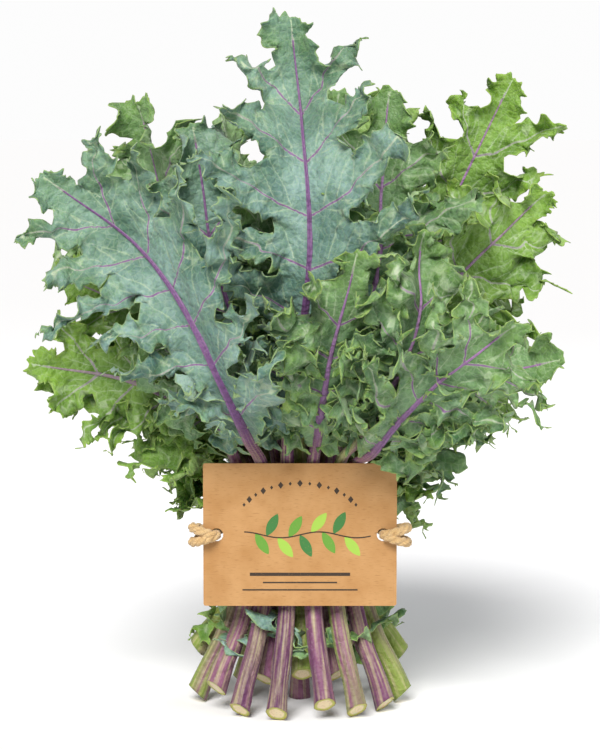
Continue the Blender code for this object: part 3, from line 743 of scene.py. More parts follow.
@dataclass
class Leaf:
    """A leaf of the bunch: its stem and midrib, the toothed and frilled blade, and its leaflets.

    packed is the solid that it is laid on. Steps, spacings, lengths and rows are in mm, angles and sides
    in degrees, and the places of the side veins are shares of their vein: the first, the last and the
    step. The rows of the low leaflets are counted from the cut end, and those of the skirt from the neck.
    """

    plan: LeafPlan
    sheaf: Sheaf
    form: BladeForm
    packed: bpy.types.Object
    ring_sides: int = 16
    ring_spacing: float = 3.2
    cut_rings: tuple[float, ...] = (0.93, 0.8, 0.62, 0.3)
    vein_step: float = 1.7
    side_vein_step: float = 1.9
    side_veins_at: tuple[float, float, float] = (0.16, 0.92, 0.145)
    side_vein_angle: tuple[float, float] = (42.0, 8.0)
    leaflet_spacing: float = 7.5
    leaflet_length: float = 29.0
    low_leaflet_length: float = 16.0
    low_leaflet_rows: tuple[float, float] = (28.0, 54.0)
    skirt_sides: tuple[float, float] = (70.0, 130.0)
    skirt_rows: tuple[float, float] = (-22.0, 14.0)
    skirt_lengths: tuple[float, float] = (38.0, 54.0)

    def __post_init__(self) -> None:
        """Works out the leaf's frame."""
        plan, sheaf, form = self.plan, self.sheaf, self.form
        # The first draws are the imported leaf's, in the same order.
        draw = np.random.default_rng(plan.seed)
        self.phases = draw.uniform(0.0, 2.0 * np.pi, 6)
        self.edges = {}
        for side in (-1, 1):
            edges = np.linspace(0.0, 1.0, plan.lobes + 2) ** form.lobe_crowding
            jitter = draw.uniform(-form.lobe_jitter, form.lobe_jitter, plan.lobes)
            edges[1:-1] += jitter / (plan.lobes + 1)
            self.edges[side] = edges
        self.twist = math.radians(draw.uniform(-form.twist, form.twist))
        self.draw = np.random.default_rng(plan.seed + 1000)
        tilt = math.radians(plan.tilt)
        self.lean = around(plan.facing) * math.cos(tilt) + np.array([0.0, 0.0, math.sin(tilt)])
        self.midline = Midline(sheaf.route(plan, self.phases[0] / np.pi - 1.0))
        _, _, self.tie, self.neck = self.midline.passed_at[:4]
        self.blade = min(plan.blade, self.midline.length - self.neck - sheaf.neck_length)
        self.blade_start = self.midline.length - self.blade
        corners = np.array([v.co for v in self.packed.data.vertices]) / MM
        self.packed.data.calc_loop_triangles()
        faces = [tuple(t.vertices) for t in self.packed.data.loop_triangles]
        self.surface = BVHTree.FromPolygons(corners.tolist(), faces)
        self.lift_at, self.lifts = self.measure_lift()
        # Where the dressed blade's middle is, once it is built.
        self.ridge_at, self.ridge = np.zeros((0, 2)), np.zeros(0)

    def radius(self, distance: np.ndarray) -> np.ndarray:
        """Reads the thickness of the stem, then of the midrib.

        Args:
            distance: How far along the leaf each place is.

        Returns:
            Half the thickness at each place.
        """
        sheaf = self.sheaf
        midrib_at = (self.blade_start + self.blade * share for share in sheaf.midrib_at)
        places = (*sheaf.cut_rows, self.tie, *midrib_at)
        return sheaf.stem_radius * np.interp(distance, places, (*sheaf.cut_flare, 1.0, *sheaf.midrib_taper))

    def vein_length(self, share: np.ndarray, side: int) -> np.ndarray:
        """Reads how far the blade reaches from the midrib, along its veins.

        Args:
            share: The share of the way up the blade of each vein.
            side: 1 for the right half, -1 for the left.

        Returns:
            The length of each vein.
        """
        form, edges, lobes = self.form, self.edges[side], self.plan.lobes
        index = np.clip(np.searchsorted(edges, share, side="right") - 1, 0, lobes)
        through = (share - edges[index]) / (edges[index + 1] - edges[index])
        whole, half = np.sin(np.pi * through), np.sin(np.minimum(through * 2.0, 0.5 * np.pi))
        rise = np.where(index == lobes, half, whole)
        depth = np.interp(share, form.sinus_at, form.sinus_depth)
        size = 1.0 + form.lobe_unevenness * np.sin(index * 2.4 + self.phases[1] + side)
        lobe = 1.0 - depth * (1.0 - np.abs(rise) ** form.lobe_bluntness)
        envelope = np.interp(share, form.envelope_at, form.envelope)
        return self.plan.width * form.vein_to_width * envelope * lobe * size

    def along_vein(self, share: np.ndarray, side: int, reach: np.ndarray) -> np.ndarray:
        """Finds flat places along the veins.

        Args:
            share: The share of the way up the blade of each vein.
            side: 1 for the right half, -1 for the left.
            reach: How far out from the midrib's edge each place is.

        Returns:
            The places, across and along the leaf.
        """
        base, rise, flare = self.form.vein_slant
        middles = (self.edges[-1] + self.edges[1]) / 2.0
        distance = self.blade_start + self.blade * np.interp(share, self.edges[side], middles)
        angle = np.radians(base + rise * share**0.6 + flare * share**8)
        radius = self.radius(distance)
        across = side * (radius + reach * np.cos(angle))
        return np.stack(np.broadcast_arrays(across, distance + 0.5 * radius + reach * np.sin(angle)), -1)

    def smooth_outline(self) -> np.ndarray:
        """Draws the blade's outline without teeth.

        Returns:
            The points, from the right of its base round the tip to the left.
        """
        sides = []
        for side in (1, -1):
            share = np.linspace(0.0, self.form.last_vein, 700)
            sides.append(self.along_vein(share, side, self.vein_length(share, side)))
        return np.vstack([sides[0], sides[1][::-1]])

    def vein_lines(self) -> list[tuple[np.ndarray, float, float, float]]:
        """Lays out the veins of the blade.

        Returns:
            For each vein its flat points, its strength, and how purple its two ends are.
        """
        lines = []
        spine = np.arange(self.blade_start + 1.0, self.midline.length - 6.0, 2.6)
        lines.append((np.stack([np.zeros_like(spine), spine], -1), 0.3, 0.6, 0.1))
        spine = np.arange(self.midline.length - 5.0, self.midline.length + 40.0, 1.8)
        lines.append((np.stack([np.zeros_like(spine), spine], -1), 1.0, 0.4, 0.0))
        for side in (-1, 1):
            edges = self.edges[side]
            for k in range(self.plan.lobes):
                middle = edges[k] + (edges[k + 1] - edges[k]) * 0.52
                length = float(self.vein_length(np.array(middle), side)) * 0.9
                if length < 9.0:
                    continue
                reach = np.arange(-1.2, length, self.vein_step)
                wander = 0.012 * np.sin(np.maximum(reach, 0.0) / length * 4.0 + self.phases[2] + k)
                share = np.clip(middle + wander, 0.0, self.form.last_vein)
                stem = self.along_vein(share, side, reach)
                lines.append((stem, 1.0, self.plan.tone.purple, 0.05))
                forward = unit(stem[-1] - stem[0])
                for j, at in enumerate(np.arange(*self.side_veins_at)):
                    base = stem[min(int(at * len(stem)), len(stem) - 1)]
                    for turn in (-1, 1):
                        mean, spread = self.side_vein_angle
                        angle = turn * math.radians(mean + spread * math.sin(3.0 * j + k))
                        cosine, sine = math.cos(angle), math.sin(angle)
                        way = np.array([forward[0] * cosine - forward[1] * sine,
                                        forward[0] * sine + forward[1] * cosine])
                        reach = np.arange(2.2, 0.4 * length * (1.15 - 0.5 * at), self.side_vein_step)
                        if len(reach) > 1:
                            bend = np.outer(reach**2 / 80.0, forward)
                            lines.append((base + np.outer(reach, way) + bend, 0.6, 0.1, 0.0))
        return lines

    def bed(self, flat: np.ndarray) -> Bed:
        """Carries flat places to the level blade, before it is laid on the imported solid.

        Args:
            flat: The places, across and along the leaf.

        Returns:
            Where they lie, with the leaf's directions there.
        """
        place, slope = self.midline.at(flat[:, 1])
        turn = (self.twist * (np.clip(flat[:, 1], 0.0, None) / self.midline.length) ** 2)[:, None]
        sideways = unit(np.cross(self.lean, (0.0, 0.0, 1.0)))
        facing = self.lean * np.cos(turn) + sideways * np.sin(turn)
        normal = unit(facing - np.sum(slope * facing, axis=-1, keepdims=True) * slope)
        across = np.cross(slope, normal)
        return Bed(place + across * flat[:, :1], across, slope, normal)

    def measure_lift(self) -> tuple[np.ndarray, np.ndarray]:
        """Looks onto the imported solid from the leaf's upper side.

        Returns:
            Flat places, and how far the solid's upper face stands off the level blade there.
        """
        outline = self.smooth_outline()
        low, high = outline.min(axis=0), outline.max(axis=0)
        across, along = np.meshgrid(np.arange(low[0], high[0] + 4.0, 4.0), np.arange(low[1], high[1] + 4.0, 4.0))
        spots = np.stack([across.ravel(), along.ravel()], -1)
        spine = np.arange(self.neck - 40.0, self.midline.length, 3.0)
        spots = np.vstack([spots, np.stack([np.zeros_like(spine), spine], -1)])
        found, lifts = [], []
        for spot, start in zip(spots, self.bed(spots).points):
            hit = self.surface.ray_cast(Vector(start + self.lean * 400.0), Vector(-self.lean), 800.0)
            if hit[0] is not None:
                found.append(spot)
                lifts.append((np.array(hit[0]) - start) @ self.lean)
        return np.array(found), np.array(lifts)

    def lift(self, flat: np.ndarray) -> np.ndarray:
        """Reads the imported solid's form, smoothed.

        Args:
            flat: Places across and along the leaf.

        Returns:
            How far the solid stands off the level blade at each place.
        """
        result = []
        for start in range(0, len(flat), 1500):
            part = flat[start : start + 1500]
            gap = np.sum((part[:, None] - self.lift_at[None]) ** 2, axis=-1)
            weight = np.exp(-(gap - gap.min(axis=1, keepdims=True)) / (2.0 * 4.5**2))
            result.append(weight @ self.lifts / weight.sum(axis=1))
        return np.concatenate(result)

    def blade_shape(self) -> Shape:
        """Makes the toothed and ruffled blade.

        Returns:
            The closed blade.
        """
        plan = self.plan
        blade = Blade(plan.seed + 500, plan.grain, plan.frill)
        outline = blade.even(self.smooth_outline(), 14)
        room = np.clip((np.abs(outline[:, 0]) - self.radius(outline[:, 1])) / 14.0, 0.05, 1.0)
        room[outline[:, 1] > self.midline.length - 6.0] = 0.8
        sheet = blade.sheet(blade.toothed(outline, room), self.vein_lines())
        bed = self.bed(sheet.points)
        bed.points = bed.points + self.lean * (self.lift(sheet.points) - 0.6)[:, None]
        free = smoothstep(np.abs(sheet.points[:, 0]) - self.radius(sheet.points[:, 1]), 0.0, 12.0)
        middle = blade.ruffled(sheet, bed, free)
        self.ridge_at = sheet.points
        self.ridge = np.sum((middle - self.bed(sheet.points).points) * self.lean, axis=-1)
        along = np.clip((sheet.points[:, 1] - self.blade_start) / self.blade, 0.0, 1.0)
        return blade.thick(sheet, middle, self.lean, along)

    def stem_centres(self, rows: np.ndarray) -> np.ndarray:
        """Finds the middle of the stem and midrib, so that the midrib shows on the blade.

        Args:
            rows: How far along the leaf each row is.

        Returns:
            The middle of each row.
        """
        place, _ = self.midline.at(rows)
        flat = np.stack([np.zeros_like(rows), rows], -1)
        upper = self.radius(rows) * (1.0 - 0.45 * self.leafy(rows))
        high = self.lift(flat) - 0.2
        for k, row in enumerate(rows):
            close = (np.abs(self.ridge_at[:, 1] - row) < 3.5) & (np.abs(self.ridge_at[:, 0]) < upper[k] + 1.0)
            if row > self.blade_start and close.any():
                high[k] = max(high[k], self.ridge[close].max() + 0.25)
        for _ in range(3):
            high[1:-1] = 0.5 * high[1:-1] + 0.25 * (high[:-2] + high[2:])
        raised = (high - upper + 0.15) * smoothstep(place[:, 2], 112.0, 134.0)
        return place + self.lean * raised[:, None]

    def leafy(self, rows: np.ndarray) -> np.ndarray:
        """From 0 on the stem to 1 where it has become a midrib."""
        return smoothstep(rows, self.blade_start - 10.0, self.blade_start + 25.0)

    def stem_shape(self) -> Shape:
        """Makes the stem and midrib as one tapering tube with a slanted cut.

        Returns:
            The closed tube.
        """
        sheaf, sides = self.sheaf, self.ring_sides
        rows = np.arange(0.0, self.midline.length - 0.8, self.ring_spacing)
        bed = self.bed(np.stack([np.zeros_like(rows), rows], -1))
        slope, leafy, radius = bed.along, self.leafy(rows), self.radius(rows)
        centre = self.stem_centres(rows)
        turns = 2.0 * np.pi * np.arange(sides) / sides
        drift = rows[:, None] * 0.004 + self.phases[3]
        flutes = 1.0 + 0.045 * np.cos(5.0 * turns + drift) + 0.03 * np.cos(2.0 * turns - drift)
        knobs = 1.0 + 0.03 * np.sin(rows * 0.13 + self.phases[4])[:, None]
        x = radius[:, None] * np.cos(turns) * flutes * knobs
        depth = np.where(np.sin(turns) > 0.0, 1.0 - 0.45 * leafy[:, None], 1.0 - 0.1 * leafy[:, None])
        y = radius[:, None] * np.sin(turns) * flutes * knobs * depth
        rings = centre[:, None] + bed.across[:, None] * x[..., None] + bed.off[:, None] * y[..., None]
        face = np.array((0.0, 0.0, -1.0))
        if self.plan.ring != "core":
            face = unit(around(self.plan.azimuth) * sheaf.cut_slant - slope[0])
        spread = rings[0] - centre[0]
        spread = spread - slope[0] * ((spread @ face) / (slope[0] @ face))[:, None]
        rings[0] = centre[0] + spread
        drop = self.plan.foot - rings[0, :, 2].min()
        rings[..., 2] += (drop * (1.0 - smoothstep(rows, 10.0, 45.0)))[:, None]
        middle = rings[0].mean(axis=0)
        cut = [middle + (rings[0] - middle) * share - face * 0.35 * (1.0 - share) ** 0.5 for share in self.cut_rings]
        points = np.vstack([rings.reshape(-1, 3), *cut, (middle - face * 0.3)[None]])
        count = len(rows)
        around_ring = [(k, (k + 1) % sides) for k in range(sides)]
        faces = [(i * sides + k, i * sides + j, (i + 1) * sides + j, (i + 1) * sides + k)
                 for i in range(count - 1) for k, j in around_ring]
        faces.append(tuple((count - 1) * sides + k for k in range(sides)))
        body, base = len(faces), count * sides
        loops = [0] + [base + n * sides for n in range(len(cut))]
        faces += [(a + j, a + k, b + k, b + j) for a, b in zip(loops, loops[1:]) for k, j in around_ring]
        faces += [(loops[-1] + j, loops[-1] + k, len(points) - 1) for k, j in around_ring]
        total = len(points)
        tissue, growth = np.zeros((total, 4)), np.zeros((total, 4))
        tissue[:, 3] = 1.0
        tone = self.plan.tone
        fade = smoothstep(rows, self.blade_start - 30.0, self.midline.length)
        tissue[:base, 2] = np.repeat(self.plan.purple * (1.0 - fade) + tone.purple * 0.8 * fade, sides)
        growth[:base, 1] = np.repeat(leafy, sides)
        growth[:base, 3] = 1.0
        growth[base:-1, 3] = np.repeat(self.cut_rings, sides)
        fibres = np.repeat(rows, sides) * 0.03 + self.plan.seed * 13.0
        grain = points.copy()
        grain[:base] = np.stack([np.tile(np.cos(turns), count) * 4.5, np.tile(np.sin(turns), count) * 4.5, fibres], -1)
        return Shape(points, faces, tissue, growth, grain, [False] * body + [True] * (len(faces) - body))

    def leaflets(self) -> list[Shape]:
        """Makes the small leaflets along the stem and at the foot of the blade.

        Returns:
            The leaflets.
        """
        shapes = []
        places = [self.neck + 3.0]
        while places[-1] < self.blade_start + self.blade * self.plan.leaflets_to:
            places.append(places[-1] + self.leaflet_spacing * self.draw.uniform(0.6, 1.1))
        if self.plan.ring == "outer":
            places += list(self.draw.uniform(*self.low_leaflet_rows, 3))
        if self.skirt_sides[0] < abs(self.plan.azimuth) < self.skirt_sides[1]:
            shapes += self.skirt()
        for k, at in enumerate(places):
            rows = np.array([at])
            bed = self.bed(np.array([[0.0, at]]))
            centre = self.stem_centres(rows)[0]
            side = 1.0 if k % 2 else -1.0
            out = self.draw.uniform(0.1, 0.9) if at > self.neck else self.draw.uniform(-0.6, 0.2)
            way = unit(bed.across[0] * side + bed.along[0] * self.draw.uniform(0.5, 1.1) + bed.off[0] * out)
            off = bed.off[0] + 0.5 * self.draw.normal(size=3) - 0.4 * bed.along[0]
            off = unit(off - (off @ way) * way)
            size = self.draw.uniform(0.75, 1.25)
            length = size * (self.leaflet_length if at > self.neck else self.low_leaflet_length)
            root = centre + unit(bed.across[0] * side + bed.off[0] * out) * float(self.radius(rows)[0]) * 0.7
            leaflet = Leaflet(root, way, off, length, length * self.draw.uniform(0.42, 0.6),
                              self.draw.uniform(0.3, 1.3), self.plan.seed * 50 + k, self.plan.tone.purple * 0.6)
            shapes.append(leaflet.build())
        return shapes

    def skirt(self) -> list[Shape]:
        """Makes the longer leaflets that hang out over the card's sides.

        Returns:
            The leaflets.
        """
        shapes = []
        outward = around(self.plan.azimuth)
        for k, at in enumerate(np.linspace(self.neck + self.skirt_rows[0], self.neck + self.skirt_rows[1], 5)):
            centre = self.stem_centres(np.array([at]))[0]
            # They turn to the back, clear of the card's front.
            backward = -math.copysign(1.0, self.plan.azimuth) * np.cross(outward, (0.0, 0.0, 1.0))
            sideways = backward * self.draw.uniform(0.0, 0.8)
            way = unit(outward + sideways + np.array([0.0, 0.0, self.draw.uniform(-0.35, 0.3)]))
            off = np.array([0.0, -0.6, 1.0]) + 0.4 * self.draw.normal(size=3)
            off = unit(off - (off @ way) * way)
            length = self.draw.uniform(*self.skirt_lengths)
            leaflet = Leaflet(centre + outward * 3.0, way, off, length, length * 0.5,
                              self.draw.uniform(0.3, 0.9), self.plan.seed * 90 + k, self.plan.tone.purple * 0.6)
            shapes.append(leaflet.build())
        return shapes

    def build(self, skin: bpy.types.Material, cut: bpy.types.Material) -> bpy.types.Object:
        """Makes the whole leaf.

        Args:
            skin: The finish of the blade, midrib and stem.
            cut: The finish of the stem's cut end.

        Returns:
            The leaf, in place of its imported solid.
        """
        shape = Shape.joined([self.blade_shape(), self.stem_shape(), *self.leaflets()])
        attributes = {"tissue": shape.tissue, "growth": shape.growth, "grain": shape.grain}
        thing = mesh_object(self.plan.name + "_grown", shape.points, shape.faces, attributes, [skin, cut])
        thing.data.polygons.foreach_set("material_index", np.array(shape.cut, np.int32))
        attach(thing, "root")
        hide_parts(self.plan.name)
        return thing


def mesh_object(
    name: str,
    points: np.ndarray,
    faces: list[tuple[int, ...]],
    attributes: dict[str, np.ndarray],
    materials: list[bpy.types.Material],
    smooth: bool = True,
) -> bpy.types.Object:
    """Makes a mesh in metres from points in millimetres.

    Args:
        name: The piece's name.
        points: Its vertices.
        faces: Its faces, as vertex numbers.
        attributes: Colours of four numbers or vectors of three, one for each vertex.
        materials: Its material slots.
        smooth: Whether its faces are shaded smooth.

    Returns:
        The new object, in the scene.
    """
    mesh = bpy.data.meshes.new(name)
    mesh.from_pydata((np.asarray(points) * MM).tolist(), [], faces)
    for key, values in attributes.items():
        kind = "FLOAT_COLOR" if values.shape[1] == 4 else "FLOAT_VECTOR"
        layer = mesh.attributes.new(key, kind, "POINT")
        layer.data.foreach_set("color" if kind == "FLOAT_COLOR" else "vector", values.astype(np.float32).ravel())
    for material in materials:
        mesh.materials.append(material)
    mesh.polygons.foreach_set("use_smooth", [smooth] * len(mesh.polygons))
    mesh.update()
    thing = bpy.data.objects.new(name, mesh)
    bpy.context.scene.collection.objects.link(thing)
    return thing


# For each kind of node: its Blender name, the inputs that are given in order, its output, and its settings.
NODE_KINDS = {
    "alpha_of": ("ShaderNodeAttribute", (), "Alpha", {}),
    "blue": ("ShaderNodeSeparateColor", (0,), 2, {}),
    "bump": ("ShaderNodeBump", ("Strength", "Distance", "Height"), 0, {}),
    "camera_ray": ("ShaderNodeLightPath", (), "Is Camera Ray", {}),
    "cells": ("ShaderNodeTexVoronoi", ("Vector", "Scale"), "Distance", {"feature": "DISTANCE_TO_EDGE"}),
    "colour_of": ("ShaderNodeAttribute", (), "Color", {}),
    "green": ("ShaderNodeSeparateColor", (0,), 1, {}),
    "mix": ("ShaderNodeMix", (0, 6, 7), 2, {"data_type": "RGBA"}),
    "noise": ("ShaderNodeTexNoise", ("Vector", "Scale", "Detail"), "Fac", {}),
    "place": ("ShaderNodeTexCoord", (), "Object", {}),
    "product": ("ShaderNodeMath", (0, 1), 0, {"operation": "MULTIPLY"}),
    "range": ("ShaderNodeMapRange", (0, 1, 2, 3, 4), 0, {}),
    "red": ("ShaderNodeSeparateColor", (0,), 0, {}),
    "stretched": ("ShaderNodeMapping", ("Vector", "Scale"), 0, {}),
    "sum": ("ShaderNodeMath", (0, 1), 0, {"operation": "ADD"}),
    "vector_of": ("ShaderNodeAttribute", (), "Vector", {}),
}


def add_node(tree: bpy.types.NodeTree, kind: str, *values: object, **settings: object) -> bpy.types.NodeSocket:
    """Adds a node with its settings and links.

    Args:
        tree: The node tree that it goes into.
        kind: One of NODE_KINDS.
        values: What the kind's inputs are linked to or set to, in their order.
        settings: More of the node's own properties.

    Returns:
        The node's output.
    """
    name, inputs, output, fixed = NODE_KINDS[kind]
    node = tree.nodes.new(name)
    for key, value in {**fixed, **settings}.items():
        setattr(node, key, value)
    for key, value in zip(inputs, values):
        if isinstance(value, bpy.types.NodeSocket):
            tree.links.new(value, node.inputs[key])
        else:
            node.inputs[key].default_value = value
    return node.outputs[output]


def per_metre(size: float) -> float:
    """The scale of a texture with lumps of this size in mm, over coordinates in metres."""
    return 1.0 / (size * MM)


class Finish:
    """A material that is built node by node."""

    def __init__(self, name: str, roughness: float, ior: float, **more: object) -> None:
        """Starts from a plain dielectric.

        Args:
            name: What the real material is.
            roughness: How matt it is.
            ior: Its index of refraction.
            more: More of the shader's values, with _ for the blanks in their names.
        """
        self.material = bpy.data.materials.new(name)
        self.material.use_nodes = True
        self.tree = self.material.node_tree
        self.shader = self.tree.nodes["Principled BSDF"]
        self.shader.inputs["Roughness"].default_value = roughness
        self.shader.inputs["IOR"].default_value = ior
        for key, value in more.items():
            self.shader.inputs[key.replace("_", " ")].default_value = value

    def surface(self, colour: bpy.types.NodeSocket, height: bpy.types.NodeSocket | None = None,
                depth: float = 0.1) -> bpy.types.Material:
        """Ends the material.

        Args:
            colour: The colour.
            height: What raises the surface, if anything.
            depth: How high that is in mm.

        Returns:
            The material.
        """
        self.tree.links.new(colour, self.shader.inputs["Base Color"])
        if height is not None:
            bump = add_node(self.tree, "bump", 1.0, depth * MM, height)
            self.tree.links.new(bump, self.shader.inputs["Normal"])
        return self.material


@dataclass(frozen=True)
class KaleSkin:
    """Living kale leaf, grown under a thin grey wax.

    The wax makes the green blue and matt, the veins run from purple at the midrib to pale green, and
    the margin is a thin yellow-green line. Thin young blades let light through.
    """

    dark: str
    light: str
    young: str
    under: str
    vein: str = "afc09d"
    purple: str = "7b4d85"
    rib_lilac: str = "94709a"
    rib_purple: str = "5e3a68"
    stem_purple: str = "5b2f52"
    stem_magenta: str = "82526d"
    stem_cream: str = "afa67e"
    stem_green: str = "7f9140"
    margin: str = "9db156"
    net_size: float = 4.5
    roughness: float = 0.52
    ior: float = 1.42

    def build(self, name: str) -> bpy.types.Material:
        """Makes the material.

        Args:
            name: What it is called.

        Returns:
            The material.
        """
        finish = Finish(name, self.roughness, self.ior, Subsurface_Weight=0.2, Subsurface_Scale=0.0015,
                        Subsurface_Radius=(0.6, 1.0, 0.25), Sheen_Weight=0.08, Sheen_Roughness=0.5)
        add = partial(add_node, finish.tree)
        where = add("place")
        tissue, growth = add("colour_of", attribute_name="tissue"), add("colour_of", attribute_name="growth")
        on_vein, on_rim, purple = add("red", tissue), add("green", tissue), add("blue", tissue)
        at_margin, to_tip, under = add("red", growth), add("green", growth), add("blue", growth)
        # The bloom lies in soft patches of about a thumb's width.
        patches = add("range", add("noise", where, per_metre(22.0), 4.0), 0.35, 0.65)
        blade = add("mix", patches, linear(self.dark), linear(self.light))
        fresh = add("range", add("noise", where, per_metre(9.0), 3.0), 0.4, 0.75, 0.0, 0.8)
        blade = add("mix", add("product", fresh, at_margin), blade, linear(self.young))
        blade = add("mix", add("range", to_tip, 0.6, 1.1, 0.0, 0.4), blade, linear(self.young))
        mottle = add("range", add("noise", where, per_metre(2.6), 4.0), 0.35, 0.65, 0.3, 0.0)
        blade = add("mix", mottle, blade, linear(self.dark))
        # The smallest veins net the blade in cells of a few millimetres.
        cells = add("cells", where, per_metre(self.net_size))
        blade = add("mix", add("range", cells, 0.0, 0.1, 0.16, 0.0), blade, linear(self.vein))
        blade = add("mix", add("range", under, 0.0, 1.0, 0.0, 0.7), blade, linear(self.under))
        hue = add("mix", add("range", purple, 0.0, 0.5), linear(self.vein), linear(self.purple))
        blade = add("mix", add("range", on_vein, 0.3, 0.56, 0.0, 0.42), blade, linear(self.vein))
        blade = add("mix", add("range", on_vein, 0.5, 0.78, 0.0, 0.92), blade, hue)
        blade = add("mix", add("range", on_rim, 0.6, 1.0, 0.0, 0.4), blade, linear(self.margin))
        # Fibres run along the stem and carry the purple in streaks a millimetre or two wide.
        grain = add("vector_of", attribute_name="grain")
        redness = add("sum", add("noise", grain, 0.26, 2.0), purple)
        thin = add("noise", grain, 0.75, 3.0)
        stem = add("mix", add("range", redness, 0.72, 0.98), linear(self.stem_green), linear(self.stem_magenta))
        stem = add("mix", add("range", redness, 1.18, 1.5), stem, linear(self.stem_purple))
        stem = add("mix", add("range", thin, 0.46, 0.74, 0.0, 0.85), stem, linear(self.stem_cream))
        rib = add("mix", add("range", redness, 0.5, 0.9), linear(self.stem_green), linear(self.rib_lilac))
        rib = add("mix", add("range", redness, 1.0, 1.45), rib, linear(self.rib_purple))
        stem = add("mix", to_tip, stem, rib)
        colour = add("mix", add("alpha_of", attribute_name="tissue"), blade, stem)
        wrinkles = add("product", add("noise", where, per_metre(4.5), 3.0), 3.0)
        return finish.surface(colour, add("sum", wrinkles, cells), 0.75)


@dataclass(frozen=True)
class CutStem:
    """A kale stem's cut face: wet cream pith, a yellow-green ring of fibres, and a thin olive rim."""

    pith: str = "dccba6"
    ring: str = "adb04c"
    rim: str = "8a8148"
    bruise: str = "a07a5a"
    roughness: float = 0.4
    ior: float = 1.4

    def build(self) -> bpy.types.Material:
        """Makes the material, in rings about the stem's middle.

        Returns:
            The material.
        """
        finish = Finish("cut_kale_stem", self.roughness, self.ior, Subsurface_Weight=0.3, Subsurface_Scale=0.002)
        add = partial(add_node, finish.tree)
        outward = add("alpha_of", attribute_name="growth")
        spots = add("noise", add("place"), per_metre(1.1), 3.0)
        colour = add("mix", add("range", outward, 0.62, 0.78), linear(self.pith), linear(self.ring))
        colour = add("mix", add("range", outward, 0.86, 0.98), colour, linear(self.rim))
        colour = add("mix", add("range", spots, 0.5, 0.75, 0.0, 0.5), colour, linear(self.bruise))
        return finish.surface(colour, spots, 0.3)


@dataclass(frozen=True)
class KraftBoard:
    """Uncoated kraft board, pressed from brown pulp: matt, with fine long fibres and darker flecks."""

    pulp: str = "a77a48"
    light: str = "b78c5b"
    fleck: str = "8f6538"
    roughness: float = 0.85
    ior: float = 1.48

    def build(self) -> bpy.types.Material:
        """Makes the material, from clouds of pulp with fibres across them.

        Returns:
            The material.
        """
        finish = Finish("kraft_board", self.roughness, self.ior)
        add = partial(add_node, finish.tree)
        where = add("place")
        # Fibres are about 2 mm long and 0.2 mm thick, drawn at twice that to show.
        fibres = add("noise", add("stretched", where, (0.25, 1.0, 1.6)), per_metre(0.9), 5.0)
        clouds = add("noise", where, per_metre(14.0), 4.0)
        colour = add("mix", add("range", clouds, 0.3, 0.7), linear(self.pulp), linear(self.light))
        colour = add("mix", add("range", fibres, 0.55, 0.72, 0.0, 0.55), colour, linear(self.fleck))
        return finish.surface(colour, fibres, 0.08)


@dataclass(frozen=True)
class PrintInk:
    """Printed ink on kraft board: flat, matt, and slightly broken by the fibres under it."""

    colour: str
    board: str = "a98050"
    roughness: float = 0.75
    ior: float = 1.5

    def build(self, name: str) -> bpy.types.Material:
        """Makes the material.

        Args:
            name: What the ink is called.

        Returns:
            The material.
        """
        finish = Finish("print_ink_" + name, self.roughness, self.ior)
        add = partial(add_node, finish.tree)
        worn = add("range", add("noise", add("place"), per_metre(0.7), 3.0), 0.62, 0.8, 0.0, 0.45)
        return finish.surface(add("mix", worn, linear(self.colour), linear(self.board)))


@dataclass(frozen=True)
class Jute:
    """Spun jute: dry golden fibres, twisted, with a little sheen along them."""

    straw: str = "dcb980"
    shade: str = "a27c4c"
    bleached: str = "e8d3ac"
    roughness: float = 0.8
    ior: float = 1.5

    def build(self) -> bpy.types.Material:
        """Makes the material, with fibres that follow each strand.

        Returns:
            The material.
        """
        finish = Finish("spun_jute", self.roughness, self.ior, Sheen_Weight=0.25)
        add = partial(add_node, finish.tree)
        fibres = add("noise", add("vector_of", attribute_name="grain"), 3.0, 4.0)
        colour = add("mix", add("range", fibres, 0.35, 0.65), linear(self.shade), linear(self.straw))
        pale = add("range", add("noise", add("place"), per_metre(6.0), 2.0), 0.4, 0.8, 0.0, 0.4)
        return finish.surface(add("mix", pale, colour, linear(self.bleached)), fibres, 0.3)


@dataclass(frozen=True)
class StudioPaper:
    """Seamless white background paper, matt, with a faint tooth."""

    colour: str = "f8f8fa"
    tooth_colour: str = "f9fafc"
    roughness: float = 0.9
    ior: float = 1.45

    def build(self) -> bpy.types.Material:
        """Makes the material.

        Returns:
            The material.
        """
        finish = Finish("studio_paper", self.roughness, self.ior, Specular_IOR_Level=0.0)
        add = partial(add_node, finish.tree)
        tooth = add("noise", add("place"), per_metre(2.0), 2.0)
        return finish.surface(add("mix", tooth, linear(self.colour), linear(self.tooth_colour)), tooth, 0.02)


